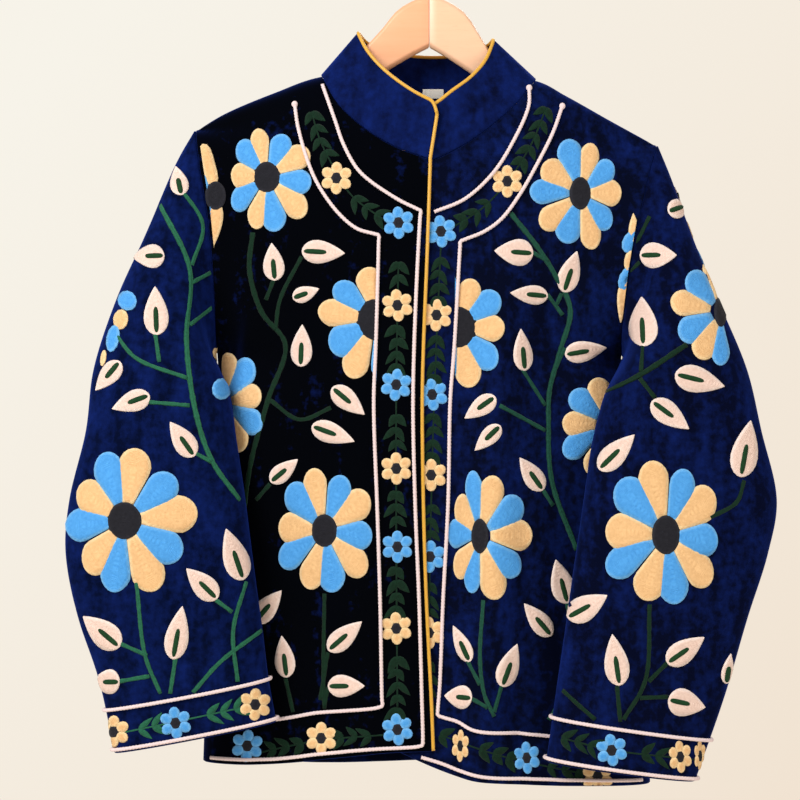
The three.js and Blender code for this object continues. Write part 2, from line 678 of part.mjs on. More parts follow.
function collarPoint(t, high) {
  const foot = collarFoot(t);
  const top = collarTop(t);
  const end = Math.min(t, 1 - t) * foot.distanceTo(collarFoot(t < 0.5 ? t + 0.02 : t - 0.02)) * 50;
  const cut = Math.max(0, 1 - end / COLLAR_ROUND);
  const reach = 1 - (COLLAR_ROUND / foot.distanceTo(top)) * cut * cut;
  return foot.lerp(top, high * reach);
}

function collarColumns() {
  const places = [0, 0.006, 0.014];
  for (let i = 1; i < COLLAR_COLUMNS; i += 1) places.push(i / COLLAR_COLUMNS);
  places.push(0.986, 0.994, 1);
  return places;
}

function collarWall() {
  const grid = collarColumns().map((t) => {
    const column = [];
    for (let j = 0; j <= COLLAR_ROWS; j += 1) column.push(collarPoint(t, 1 - j / COLLAR_ROWS));
    return column;
  });
  return wall(grid, WALL, true);
}

// Piping rides just past a free edge, square to it and away from the point inside it
function pipingRoute(edges, insides) {
  return edges.map((edge, i) => {
    const last = edges.length - 1;
    const along = edges[Math.min(last, i + 1)].clone().sub(edges[Math.max(0, i - 1)]).normalize();
    const away = edge.clone().sub(insides[i]);
    away.addScaledVector(along, -away.dot(along)).normalize();
    return edge.clone().addScaledVector(away, PIPING_RADIUS + PIPING_GAP);
  });
}

function collarPiping() {
  const places = collarColumns();
  const points = pipingRoute(
    places.map((t) => collarPoint(t, 1)),
    places.map((t) => collarPoint(INSIDE + (1 - 2 * INSIDE) * t, 0.5)),
  );
  const ups = points.map(() => new THREE.Vector3(0, -0.3, 1).normalize());
  return strand(points, ups, roundSection(PIPING_RADIUS, PIPING_SIDES));
}

function frontPiping(side) {
  const end = side === 'right' ? 0 : 1;
  const inward = end + (0.5 - end) * 2 * INSIDE;
  const edges = [];
  const insides = [];
  for (const high of COLLAR_PIPING_HEIGHTS) {
    edges.push(collarPoint(end, high));
    insides.push(collarPoint(inward, high));
  }
  for (let j = 1; j <= FRONT_PIPING_STEPS; j += 1) {
    edges.push(panelPoint('front', side, 0, j / FRONT_PIPING_STEPS));
    insides.push(panelPoint('front', side, INSIDE, j / FRONT_PIPING_STEPS));
  }
  const points = pipingRoute(edges, insides);
  const ups = points.map(() => new THREE.Vector3(0, -1, 0));
  return strand(points, ups, roundSection(PIPING_RADIUS, PIPING_SIDES));
}

// One arm of the hanger, from the middle to the shoulder, with chamfered edges
function arm(side) {
  const sign = SIGN[side];
  const carried = SHOULDER[side].slice(1, -1).map((p) => ({ out: p.out, up: p.up - ARM_DROP }));
  const end = ARM_END[side];
  const tip = { out: end, up: lookup(shoulder[side], 'out', 'up', end) - ARM_DROP };
  const top = spline([...ARM_TOP[side], ...carried, tip]);
  const under = spline(ARM_UNDER[side]);
  const half = ARM_THICK / 2;
  const rings = [];
  for (let i = 0; i <= ARM_STEPS; i += 1) {
    const high = top.getPointAt(i / ARM_STEPS);
    const low = under.getPointAt(i / ARM_STEPS);
    const cut = ARM_CHAMFER / high.distanceTo(low);
    const section = [
      [-half, 1 - cut], [ARM_CHAMFER - half, 1], [half - ARM_CHAMFER, 1], [half, 1 - cut],
      [half, cut], [half - ARM_CHAMFER, 0], [ARM_CHAMFER - half, 0], [-half, cut],
    ];
    rings.push(section.map(([y, share]) => {
      const place = low.clone().lerp(high, share);
      return new THREE.Vector3(sign * place.x, y * sign, place.y);
    }));
  }
  return loft(rings);
}

function hook() {
  const centre = WIRE / 2 - HOOK_RADIUS;
  const points = [];
  for (let k = 0; k <= HOOK_ARC_STEPS; k += 1) {
    const angle = THREE.MathUtils.degToRad(HOOK_TIP + ((HOOK_TURN - HOOK_TIP) * k) / HOOK_ARC_STEPS);
    points.push(new THREE.Vector3(
      HOOK_RADIUS * Math.cos(angle), 0, centre + HOOK_RADIUS * Math.sin(angle),
    ));
  }
  for (const { out, up } of HOOK_STEM) points.push(new THREE.Vector3(out, 0, up));
  const path = new THREE.CatmullRomCurve3(points, false, 'centripetal');
  const even = path.getSpacedPoints(HOOK_STEPS);
  return strand(even, even.map(() => new THREE.Vector3(0, -1, 0)), roundSection(WIRE / 2, 8));
}

// Small plain label on the inside of the collar at the back of the neck
function label() {
  const place = collarPoint(0.5, LABEL.up);
  const geometry = new THREE.BoxGeometry(LABEL.wide, LABEL.thick, LABEL.high);
  const lean = collarPoint(0.5, 1).sub(collarPoint(0.5, 0));
  geometry.rotateX(-Math.atan2(lean.y, lean.z));
  geometry.translate(LABEL.x, place.y - WALL / 2 - LABEL.lift, place.z);
  return geometry;
}

const jacket = new THREE.Group();

function add(parent, name, geometry, surface) {
  const mesh = new THREE.Mesh(geometry, surface);
  mesh.name = name;
  parent.add(mesh);
}

const velvet = material(COLOURS.velvet, 0.9);
const velvetDark = material(COLOURS.velvet_dark, 0.9);
const gold = material(COLOURS.gold, 0.55);
const pink = material(COLOURS.pink, 0.8);

add(jacket, 'front_right', frontWall('right'), velvet);
add(jacket, 'front_left', frontWall('left'), velvet);
add(jacket, 'back', backWall(), velvetDark);
add(jacket, 'collar', collarWall(), velvet);
add(jacket, 'sleeve_right', sleeveWall('right'), velvet);
add(jacket, 'sleeve_left', sleeveWall('left'), velvet);
add(jacket, 'piping_collar', collarPiping(), gold);
add(jacket, 'piping_front_right', frontPiping('right'), gold);
add(jacket, 'piping_front_left', frontPiping('left'), gold);
for (const [name, route] of Object.entries(CORD_ROUTES)) {
  const side = name.endsWith('right') ? 'right' : 'left';
  add(jacket, `cord_${name}`, frontCord(side, route), pink);
}
HEM_BAND.forEach((above, i) => add(jacket, `cord_back_hem_${i + 1}`, backCord(above), pink));
for (const side of ['right', 'left']) {
  CUFF_BAND.forEach((above, i) => {
    add(jacket, `cord_cuff_${side}_${i + 1}`, cuffCord(side, above), pink);
  });
}
add(jacket, 'neck_label', label(), material(COLOURS.label, 0.8));

const hanger = new THREE.Group();
add(hanger, 'hanger_arm_right', arm('right'), material(COLOURS.beech_warm, 0.45));
add(hanger, 'hanger_arm_left', arm('left'), material(COLOURS.beech_pale, 0.45));
add(hanger, 'hanger_hook', hook(), material(COLOURS.wire, 0.3, 1));
jacket.add(hanger);

export default jacket;
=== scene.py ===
# %% [markdown]
# # A suzani jacket on a wooden hanger
#
# The real thing is a short coat of navy cotton velvet, covered in chain stitch: large daisies in
# sky blue and peach, pale pink leaves, and bands of small flowers between couched pink cords.
# The collar and both front edges are finished with gold satin piping, and it hangs open over a
# plain beech hanger.
#
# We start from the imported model, which fixes every size and place. Each piece of cloth is made
# again on the same surface, finer, with its creases. The embroidery is then laid onto that cloth.

import math
from collections import namedtuple

import bmesh
import bpy
import numpy as np
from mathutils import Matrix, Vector
from mathutils.bvhtree import BVHTree


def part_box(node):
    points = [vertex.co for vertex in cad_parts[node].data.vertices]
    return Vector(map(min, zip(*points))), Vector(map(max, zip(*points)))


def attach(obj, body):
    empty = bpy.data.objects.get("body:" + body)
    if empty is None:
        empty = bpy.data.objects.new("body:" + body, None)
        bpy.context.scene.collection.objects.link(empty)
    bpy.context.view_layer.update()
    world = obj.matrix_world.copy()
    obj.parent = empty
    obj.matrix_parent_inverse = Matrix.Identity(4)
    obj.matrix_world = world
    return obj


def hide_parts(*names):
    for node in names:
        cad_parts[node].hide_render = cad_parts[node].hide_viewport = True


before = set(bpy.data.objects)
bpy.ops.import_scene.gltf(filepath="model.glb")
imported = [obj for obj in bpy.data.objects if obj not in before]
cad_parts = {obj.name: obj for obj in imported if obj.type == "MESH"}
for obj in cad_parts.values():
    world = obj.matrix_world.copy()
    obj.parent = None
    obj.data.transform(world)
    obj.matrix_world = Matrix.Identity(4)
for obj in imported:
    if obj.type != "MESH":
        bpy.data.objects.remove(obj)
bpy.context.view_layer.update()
MM = 0.001

# %% [markdown]
# ## Camera
#
# The photo was taken straight on from about two metres, so the camera stands level, a little to
# the wearer's right of the hook and at chest height. A long lens keeps the hems almost straight.

# %% Camera
CAMERA_PLACE = (-0.0276, -2.094, -0.443)
CAMERA_LENS = 100

bpy.ops.object.camera_add(location=CAMERA_PLACE, rotation=(math.radians(90), 0, 0))
camera = bpy.context.object
camera.name = "photo_camera"
camera.data.lens = CAMERA_LENS
camera.data.sensor_width = 36
bpy.context.scene.camera = camera

# %% [markdown]
# ## Finishes
#
# Velvet is a pile that stands up from its ground. Seen straight on we look down between the
# threads and it is almost black, and at a glancing angle the sides of the threads shine. So the
# colour is painted from near black to blue with the angle, as a painted sheen, and the sheen
# socket adds the soft edge light. Each panel also has its own painted light and shade, in its
# colour, its share of lit patches and streaks painted as the sheen on small wrinkles.
#
# Chain stitch is worked in rows that follow the outline of each motif. Every stitched piece
# carries a map in millimetres: how far along it a point lies and how far in from its edge. The
# thread materials read the rows and links of the chain from that map.

# %% Colours and a node helper
def linear(code):
    """The shader's linear colour for a colour code as printed on a swatch."""
    parts = [int(code[k : k + 2], 16) / 255 for k in (1, 3, 5)]
    return [p / 12.92 if p <= 0.04045 else ((p + 0.055) / 1.055) ** 2.4 for p in parts] + [1.0]


def add_node(tree, kind, inputs=None, **settings):
    """A node with its settings, and its inputs set to values or joined to outputs."""
    node = tree.nodes.new(kind)
    for name, value in settings.items():
        setattr(node, name, value)
    for name, value in (inputs or {}).items():
        if isinstance(value, bpy.types.NodeSocket):
            tree.links.new(value, node.inputs[name])
        else:
            node.inputs[name].default_value = value
    return node


def blank_material(name):
    """A new material with a lone shader, as its tree and that shader."""
    material = bpy.data.materials.new(name)
    material.use_nodes = True
    return material, material.node_tree, material.node_tree.nodes["Principled BSDF"]


def calculate(tree, operation, first, second=0.0):
    """One step of arithmetic on two numbers or outputs."""
    return add_node(tree, "ShaderNodeMath", {0: first, 1: second}, operation=operation).outputs[0]


def blend_colours(tree, share, first, second):
    """A colour between two, as the share says."""
    mix = add_node(tree, "ShaderNodeMix", {"Factor": share}, data_type="RGBA")
    for socket, value in ((mix.inputs[6], first), (mix.inputs[7], second)):
        if isinstance(value, bpy.types.NodeSocket):
            tree.links.new(value, socket)
        else:
            socket.default_value = value
    return mix.outputs[2]


def noise(tree, scale, detail=2.0):
    """Soft uneven patches, from 0 to 1, scale of them to a metre."""
    place = add_node(tree, "ShaderNodeTexCoord").outputs["Object"]
    settings = {"Vector": place, "Scale": scale, "Detail": detail, "Roughness": 0.55}
    return add_node(tree, "ShaderNodeTexNoise", settings).outputs["Fac"]


# %% Velvet
PILE_PAINTED_LIT = "#0d1f5e"       # painted light: patches of pile that lean towards the light
PILE_PAINTED_SHEEN = "#2442a8"    # painted sheen: the sides of the threads at a glancing angle


def velvet(name, deep, painted_lit_share):
    """Navy cotton velvet: deep is its colour straight down, set per panel as painted shade, and the last
    number is the share of it painted as lit.
    """
    material, tree, shader = blank_material(name)
    place = add_node(tree, "ShaderNodeTexCoord").outputs["Object"]
    # Streaks stretched down the hang, painted as the sheen and shade of small wrinkles
    hanging = add_node(tree, "ShaderNodeMapping", {"Vector": place, "Scale": (62, 62, 17)})
    folds = add_node(
        tree, "ShaderNodeTexNoise", {"Vector": hanging.outputs["Vector"], "Scale": 1.0, "Detail": 4.0},
    ).outputs["Fac"]
    painted_wrinkle_sheen = calculate(tree, "MULTIPLY", folds, 0.55)
    crushed = calculate(tree, "MULTIPLY", noise(tree, 150, 5.0), 0.45)
    # Patches between the deep colour and the lit one: random crushing of the pile, the painted wrinkle
    # streaks, and painted light set by the panel's lit share
    patches = add_node(
        tree, "ShaderNodeMapRange",
        {
            "Value": calculate(tree, "ADD", crushed, painted_wrinkle_sheen),
            "From Min": 0.54 - painted_lit_share, "From Max": 0.86 - painted_lit_share,
        },
    ).outputs["Result"]
    pile = blend_colours(tree, patches, linear(deep), linear(PILE_PAINTED_LIT))
    # Painted sheen: the colour turns blue towards glancing angles
    facing = add_node(tree, "ShaderNodeLayerWeight", {"Blend": 0.4}).outputs["Facing"]
    painted_sheen = calculate(tree, "MULTIPLY", calculate(tree, "POWER", facing, 2.6), 0.5)
    tree.links.new(blend_colours(tree, painted_sheen, pile, linear(PILE_PAINTED_SHEEN)), shader.inputs["Base Color"])
    grain = calculate(tree, "ADD", noise(tree, 1400, 1.0), calculate(tree, "MULTIPLY", crushed, 4.0))
    bump = add_node(tree, "ShaderNodeBump", {"Strength": 0.35, "Distance": 0.0008, "Height": grain})
    tree.links.new(bump.outputs["Normal"], shader.inputs["Normal"])
    shader.inputs["Roughness"].default_value = 0.95
    shader.inputs["Specular IOR Level"].default_value = 0.03
    shader.inputs["Sheen Weight"].default_value = 0.08
    shader.inputs["Sheen Roughness"].default_value = 0.4
    shader.inputs["Sheen Tint"].default_value = linear("#2f55e0")
    return material


# %% Chain stitch thread
ROW = 1.1          # width of a row of chain stitch, mm
LINK = 2.2         # length of one link of the chain, mm


def chain_stitch(name, colour, edge, groove_shade, raised=0.8):
    """Cotton thread in rows of chain stitch: its colour, its rim's, and the darker colour painted as shade
    between the rows.
    """
    material, tree, shader = blank_material(name)
    stitch_map = add_node(tree, "ShaderNodeUVMap", uv_map="stitch").outputs["UV"]
    split = add_node(tree, "ShaderNodeSeparateXYZ", {"Vector": stitch_map})
    along, inset = split.outputs["X"], split.outputs["Y"]
    place = calculate(tree, "DIVIDE", inset, ROW)
    row = calculate(tree, "ABSOLUTE", calculate(tree, "SINE", calculate(tree, "MULTIPLY", place, math.pi)))
    stagger = calculate(tree, "MULTIPLY", calculate(tree, "FLOOR", place), 0.37)
    link = calculate(tree, "ADD", calculate(tree, "DIVIDE", along, LINK), stagger)
    pull = calculate(tree, "ABSOLUTE", calculate(tree, "SINE", calculate(tree, "MULTIPLY", link, math.pi)))
    link_rise = calculate(tree, "ADD", calculate(tree, "MULTIPLY", pull, 0.2), 0.8)
    relief = calculate(tree, "MULTIPLY", row, link_rise)
    near_rim = add_node(
        tree, "ShaderNodeMapRange", {"Value": inset, "From Min": 1.0, "From Max": 3.2},
    ).outputs["Result"]
    body = blend_colours(tree, near_rim, linear(edge), linear(colour))
    mottled = add_node(
        tree, "ShaderNodeMapRange", {"Value": noise(tree, 380, 3.0), "From Min": 0.34, "From Max": 0.7},
    ).outputs["Result"]
    uneven = calculate(tree, "MULTIPLY", mottled, 0.42)
    # Painted shade between the rows, with random mottling, darkens the thread's colour
    painted_groove_shade = calculate(tree, "MULTIPLY", calculate(tree, "SUBTRACT", 1.0, relief), 0.34)
    shade = calculate(tree, "MULTIPLY", calculate(tree, "ADD", uneven, painted_groove_shade), raised)
    tree.links.new(blend_colours(tree, shade, body, linear(groove_shade)), shader.inputs["Base Color"])
    high = calculate(tree, "ADD", relief, calculate(tree, "MULTIPLY", mottled, 1.2))
    bump = add_node(tree, "ShaderNodeBump", {"Strength": 0.5, "Distance": 0.0005, "Height": high})
    tree.links.new(bump.outputs["Normal"], shader.inputs["Normal"])
    shader.inputs["Roughness"].default_value = 0.8
    shader.inputs["Specular IOR Level"].default_value = 0.12
    shader.inputs["Sheen Weight"].default_value = 0.04
    return material


# %% Cord, piping, label, wood and wire
def plain_finish(name, colour, dark, roughness, patch, sheen=0.0, metal=0.0, depth=0.0):
    """A finish of one colour, a little uneven, with patch of its patches to a metre."""
    material, tree, shader = blank_material(name)
    uneven = noise(tree, patch, 3.0)
    tree.links.new(blend_colours(tree, uneven, linear(dark), linear(colour)), shader.inputs["Base Color"])
    if depth:
        bump = add_node(tree, "ShaderNodeBump", {"Strength": 0.5, "Distance": depth, "Height": uneven})
        tree.links.new(bump.outputs["Normal"], shader.inputs["Normal"])
    shader.inputs["Roughness"].default_value = roughness
    shader.inputs["Metallic"].default_value = metal
    shader.inputs["Sheen Weight"].default_value = sheen
    return material


def beech(name, pale, warm):
    """Lacquered beech: long soft grain along the arm, with the short flecks that mark beech."""
    material, tree, shader = blank_material(name)
    place = add_node(tree, "ShaderNodeTexCoord").outputs["Object"]
    long_way = add_node(tree, "ShaderNodeMapping", {"Vector": place, "Scale": (9, 160, 160)})
    grain = add_node(
        tree, "ShaderNodeTexNoise", {"Vector": long_way.outputs["Vector"], "Scale": 1.0, "Detail": 4.0},
    ).outputs["Fac"]
    fleck_way = add_node(tree, "ShaderNodeMapping", {"Vector": place, "Scale": (110, 900, 900)})
    fleck = add_node(
        tree, "ShaderNodeTexNoise", {"Vector": fleck_way.outputs["Vector"], "Scale": 1.0, "Detail": 1.0},
    ).outputs["Fac"]
    flecks = add_node(
        tree, "ShaderNodeMapRange", {"Value": fleck, "From Min": 0.62, "From Max": 0.75},
    ).outputs["Result"]
    colour = blend_colours(tree, grain, linear(warm), linear(pale))
    flecked = blend_colours(tree, calculate(tree, "MULTIPLY", flecks, 0.1), colour, linear("#c98a4e"))
    tree.links.new(flecked, shader.inputs["Base Color"])
    shader.inputs["Roughness"].default_value = 0.42
    shader.inputs["Coat Weight"].default_value = 0.25
    shader.inputs["Coat Roughness"].default_value = 0.3
    return material


# Lit and shaded copies of one velvet: each panel's colour straight down and its share of lit patches are
# painted light and shade, nearly black on the shaded right front and bluer where light reaches
VELVETS = {
    "front_right": velvet("navy velvet, right front", "#010205", -0.02),
    "front_left": velvet("navy velvet, left front", "#04081d", 0.1),
    "back": velvet("navy velvet, back", "#040819", 0.08),
    "sleeve_right": velvet("navy velvet, right sleeve", "#030a26", 0.14),
    "sleeve_left": velvet("navy velvet, left sleeve", "#040820", 0.1),
    "collar": velvet("navy velvet, collar", "#060c2a", 0.21),
}
THREADS = {
    # Each thread: its colour, its rim's, and a darker colour painted as shade between the rows
    "blue": chain_stitch("sky blue cotton", "#56a6ea", "#7cc0f4", "#2f7cc8"),
    "peach": chain_stitch("peach cotton", "#f0c48e", "#fbe0ae", "#cf9a63"),
    "charcoal": chain_stitch("charcoal cotton", "#24242b", "#2f2f37", "#0b0b0f"),
    "pink": chain_stitch("pale pink cotton", "#f1d6c8", "#fbebe2", "#d4ad9d"),
    "vein": chain_stitch("bottle green cotton", "#15371d", "#1b4425", "#091c0f"),
    "stem": chain_stitch("leaf green cotton", "#1e5a41", "#2a6e50", "#0f3526"),
    # A darker copy of the leaf green, as painted shade on stems
    "shaded": chain_stitch("deep leaf green cotton", "#164335", "#1d5241", "#0a241b"),
    "sprig": chain_stitch("dark green cotton", "#0a2517", "#0f301f", "#05140c"),
}
THREAD_ORDER = list(THREADS)
pink_cord = plain_finish("pale pink cotton cord", "#f4e2e2", "#dcc0c0", 0.8, 900, sheen=0.2)
gold_satin = plain_finish("gold satin piping", "#ecb83e", "#c98e22", 0.42, 700, sheen=0.2, depth=0.0002)
label_tape = plain_finish("plain woven tape", "#efebe4", "#d8d2c8", 0.8, 1500, depth=0.0002)
zinc_wire = plain_finish("bright zinc wire", "#c9ccd0", "#aeb2b6", 0.28, 120, metal=1.0)
beech_warm = beech("lacquered beech, warm", "#fabb91", "#f0aa7e")
beech_pale = beech("lacquered beech, pale", "#facdab", "#f3be97")
print("materials:", len(bpy.data.materials))

# %% [markdown]
# ## The cut of the jacket
#
# The tables below are the pattern: the shoulder lines, necklines, side edges, front edges and
# hems, as distances out from the centre line and heights below the hook, in millimetres. They
# are the ones that the solids were made from, so what we model lies on the same surface.
# The two sides differ, because the jacket hangs a little askew.

# %% Pattern tables
OUT, UP = 0, 1
SIGN = {"right": -1, "left": 1}
WALL = 2.0
SEAM_HALF = 0.95
LAP = 1.8
LAP_WIDTH = 110
RIDGE_RADIUS = 9
FALL = {"front": 90, "back": 34}
BACK_FULL = 42
PANEL_POWER = 2.5
NECK_SHARE = 0.5
ARMHOLE_DEPTH = 25
ARMHOLE_POWER = 2.2
ARMHOLE_BLEND = 6
UNDERARM_BLEND = 50
UNDERARM = {"right": -396, "left": -400}
SLEEVE_POWER = 2.1
SLEEVE_GAP = 1.5
COLLAR_GAP = 2.0

SHOULDER = {
    "right": [(0, -135), (101, -139.5), (145, -154.6), (192, -174.4), (219, -190.4)],
    "left": [(0, -139), (99.6, -143.3), (128, -157.4), (170, -181), (213, -204.5)],
}
NECK = {
    "front": {
        "right": [(1.7, -221), (32, -209.6), (60, -192), (85.5, -167.6), (101, -139.5)],
        "left": [(-24, -229), (0, -223), (28, -209.6), (56, -190), (80, -168), (99.6, -143.3)],
    },
    "back": {
        "right": [(0, -166), (45, -162), (75, -154), (93, -146), (101, -139.5)],
        "left": [(0, -166), (45, -163), (75, -156), (92, -149), (99.6, -143.3)],
    },
}
SIDE_EDGE = {
    "right": [
        (219, -190.4), (214.3, -223.6), (207, -266), (203, -301), (200, -350), (199, -396),
        (197, -430), (202, -560), (209, -700), (212, -785),
    ],
    "left": [
        (213, -204.5), (206, -224), (199, -255), (194, -277), (186, -323), (179, -379),
        (180, -400), (183, -450), (190, -560), (200, -700), (207, -803),
    ],
}
FRONT_EDGE = {
    "right": [
        (1.7, -221), (4.6, -305), (8.3, -397), (9.3, -443), (8.3, -535), (5.5, -627),
        (0.9, -719), (-1, -766),
    ],
    "left": [(-24, -229), (-28, -767)],
}
HEM = {
    "front": {
        "right": [(-1, -765.8), (42, -767.6), (83, -772), (120, -776.7), (166, -780.4), (212, -781)],
        "left": [
            (-28, -767), (-12, -774.5), (5, -782), (23, -788.8), (41, -794), (92, -797.5),
            (157, -800), (207, -801.5),
        ],
    },
    "back": {
        "right": [(0, -788), (110, -790), (212, -781)],
        "left": [(0, -788), (110, -793), (207, -801.5)],
    },
}
FRONT_FULL = [(57, -350), (57, -440), (55, -530), (51, -630), (47, -720), (45, -790)]

Fold = namedtuple("Fold", "out0 up0 out1 up1 width swell")
FOLDS = {
    "front": {
        "right": [
            Fold(176, -270, 168, -430, 15, 8), Fold(120, -260, 112, -800, 30, -6),
            Fold(62, -470, 72, -820, 22, 4),
        ],
        "left": [Fold(70, -290, 50, -820, 20, 9), Fold(112, -250, 128, -780, 24, -8)],
    },
    "back": {
        "right": [Fold(150, -240, 140, -820, 26, 7), Fold(88, -300, 76, -800, 26, -6)],
        "left": [Fold(142, -250, 128, -820, 24, 7), Fold(70, -330, 62, -800, 28, -5)],
    },
}

Ring = namedtuple("Ring", "outer inner half")
SLEEVE_RINGS = {
    "right": [
        Ring((-236, -4, -219), (-203.8, -13, -402), 30), Ring((-266, -15, -293), (-197, -33, -413), 34),
        Ring((-290, -25, -350), (-186, -47, -437), 34), Ring((-310, -35, -415), (-179, -52, -480), 33),
        Ring((-316, -44, -471), (-171, -57, -530), 31), Ring((-330, -54, -535), (-165, -60, -575), 30),
        Ring((-333, -58, -580), (-160, -61, -612), 28), Ring((-323, -61, -635), (-154, -61, -655), 26),
        Ring((-302, -61, -699), (-149, -60, -697), 23), Ring((-288, -60, -765), (-142, -58, -737), 18.6),
    ],
    "left": [
        Ring((225, -4, -232), (182, -15, -404), 29), Ring((247, -14, -298), (176, -36, -414), 34),
        Ring((266, -24, -350), (162, -57, -438), 35), Ring((292, -35, -415), (150, -62, -480), 34),
        Ring((304, -45, -471), (143, -66, -522), 32), Ring((317, -54, -535), (137, -68, -562), 30),
        Ring((308, -60, -583), (131, -68, -602), 29), Ring((289, -64, -641), (124, -68, -652), 27),
        Ring((268, -65, -712), (116, -67, -707), 24), Ring((241, -64, -790), (107, -66, -772), 21),
    ],
}
COLLAR_TOP = [
    (6, -34, -170), (-18, -31, -157), (-43.5, -24, -137), (-60, -14, -117), (-68, 0, -99),
    (-60, 13, -106), (-36, 24, -114), (0, 28, -118), (34, 24, -116), (56, 13, -109),
    (61.5, 0, -105.5), (54, -15, -126), (40, -23, -143), (22, -29, -157), (5, -32, -170),
    (-16, -33, -179),
]
COLLAR_QUARTERS = [0, 4, 7, 10, 15]    # rows of that table where the four panels' seams lie
COLLAR_ROUND = 9


# %% Curves and tables read as numbers
def smooth(share):
    """0 to 1 with level ends."""
    share = np.clip(share, 0, 1)
    return share * share * (3 - 2 * share)


def curve(places):
    """A rounded curve through the places, as a function of its share from end to end."""
    places = np.asarray(places, float)
    held = np.vstack([2 * places[0] - places[1], places, 2 * places[-1] - places[-2]])

    def at(share):
        spot = np.clip(np.asarray(share, float), 0, 1) * (len(places) - 1)
        low = np.minimum(spot.astype(int), len(places) - 2)
        part = (spot - low)[..., None]
        p0, p1, p2, p3 = (held[low + k] for k in range(4))
        gaps = [np.sum((b - a) ** 2, -1, keepdims=True) ** 0.25 for a, b in ((p0, p1), (p1, p2), (p2, p3))]
        d0, d1, d2 = (np.maximum(gap, 1e-4) for gap in gaps)
        leave = ((p1 - p0) / d0 - (p2 - p0) / (d0 + d1) + (p2 - p1) / d1) * d1
        reach = ((p2 - p1) / d1 - (p3 - p1) / (d1 + d2) + (p3 - p2) / d2) * d1
        bend = -3 * p1 + 3 * p2 - 2 * leave - reach
        return p1 + leave * part + bend * part**2 + (2 * p1 - 2 * p2 + leave + reach) * part**3

    return at


def even(places, samples=400):
    """The same curve, as a function of the share of its length."""
    at = curve(places)
    shares = np.linspace(0, 1, samples)
    length = np.concatenate([[0], np.cumsum(np.linalg.norm(np.diff(at(shares), axis=0), axis=1))])
    whole = float(length[-1])
    return (lambda share: at(np.interp(np.asarray(share) * whole, length, shares))), whole


def dense(places):
    """The table with eleven more places in each gap, on the rounded curve."""
    return curve(places)(np.linspace(0, 1, len(places) * 12 + 1))


def read(table, by, value, key):
    """The table's value column where its by column has the key."""
    table = np.asarray(table, float)
    order = np.argsort(table[:, by], kind="stable")
    return np.interp(key, table[order, by], table[order, value])


shoulder = {side: dense(SHOULDER[side]) for side in SIGN}
side_edge = {side: dense(SIDE_EDGE[side]) for side in SIGN}
front_edge = {side: dense(FRONT_EDGE[side]) for side in SIGN}
hem = {face: {side: dense(HEM[face][side]) for side in SIGN} for face in HEM}
neck_curve = {face: {side: even(NECK[face][side])[0] for side in SIGN} for face in NECK}
shoulder_curve = {side: even(SHOULDER[side][1:])[0] for side in SIGN}


# %% Surface of the body
def fold_swell(folds, out, up):
    """How far the large folds push the cloth out."""
    swell = np.zeros_like(out)
    for fold in folds:
        share = (fold.up0 - up) / (fold.up0 - fold.up1)
        across = (out - fold.out0 - (fold.out1 - fold.out0) * share) / fold.width
        swell += fold.swell * np.exp(-across * across) * smooth(share * 4) * smooth((1 - share) * 6)
    return swell


def armhole_depth(side, up):
    """Half the depth of the armhole at a height."""
    top = SIDE_EDGE[side][0][UP]
    share = np.clip((top - up) / (top - UNDERARM[side]), 0, 1)
    return ARMHOLE_DEPTH * (1 - np.abs(2 * share - 1) ** ARMHOLE_POWER) ** (1 / ARMHOLE_POWER)


def body_point(face, side, out, up):
    """The middle of the cloth at a place of the front or back view."""
    reach = np.abs(out)
    drop = np.maximum(0, read(shoulder[side], OUT, UP, reach) - up)
    turned = 1 - np.minimum(drop / RIDGE_RADIUS, 1)
    ridge = RIDGE_RADIUS * np.sqrt(1 - turned * turned)
    full = read(FRONT_FULL, UP, OUT, up) if face == "front" else BACK_FULL
    share = np.minimum(1, reach / read(side_edge[side], UP, OUT, up))
    swell = fold_swell(FOLDS[face][side], out, up) * (1 - share**8)
    deep = ridge + (full - RIDGE_RADIUS) * (1 - np.exp(-drop / FALL[face])) + swell
    above = ridge + (deep - ridge) * (1 - share**PANEL_POWER)
    above += (armhole_depth(side, up) - ridge) * share**ARMHOLE_BLEND
    below = deep * (1 - share**PANEL_POWER) ** (1 / PANEL_POWER)
    lower = smooth((UNDERARM[side] - up) / UNDERARM_BLEND)
    depth = SEAM_HALF + above + (below - above) * lower
    if face == "back":
        return np.stack([SIGN[side] * out, depth, up], -1)
    lapping = smooth(1 - reach / LAP_WIDTH) * LAP
    return np.stack([SIGN[side] * out, -depth + SIGN[side] * lapping, up], -1)


def panel_point(face, side, u, v):
    """The middle of a panel: u from the centre to the side, v from the top edge to the hem."""
    u, v = np.broadcast_arrays(np.asarray(u, float), np.asarray(v, float))
    at_neck = neck_curve[face][side](np.clip(u / NECK_SHARE, 0, 1))
    at_shoulder = shoulder_curve[side](np.clip((u - NECK_SHARE) / (1 - NECK_SHARE), 0, 1))
    on_neck = u < NECK_SHARE
    top_out = np.where(on_neck, at_neck[..., OUT], at_shoulder[..., OUT])
    shoulder_up = read(shoulder[side], OUT, UP, at_shoulder[..., OUT])
    top_up = np.where(on_neck, at_neck[..., UP], shoulder_up)
    spread = 0.5 * u + 0.5 * (1 - (1 - u) ** 2)

    def full_out(up):
        start = read(front_edge[side], UP, OUT, up) if face == "front" else 0.0
        return start + (read(side_edge[side], UP, OUT, up) - start) * spread

    foot = read(hem[face][side], OUT, UP, full_out(hem[face][side][0, UP]))
    up = top_up + (foot - top_up) * v
    out = full_out(up) + (1 - smooth(v / 0.4)) * (top_out - full_out(top_up))
    return body_point(face, side, out, up)


# %% Surface of the sleeves
SLEEVE_BLEND = 0.1     # share of the sleeve over which it leaves the armhole's shape


def power_wave(wave, power):
    """A squarer wave, for a fuller section."""
    return np.sign(wave) * np.abs(wave) ** (2 / power)


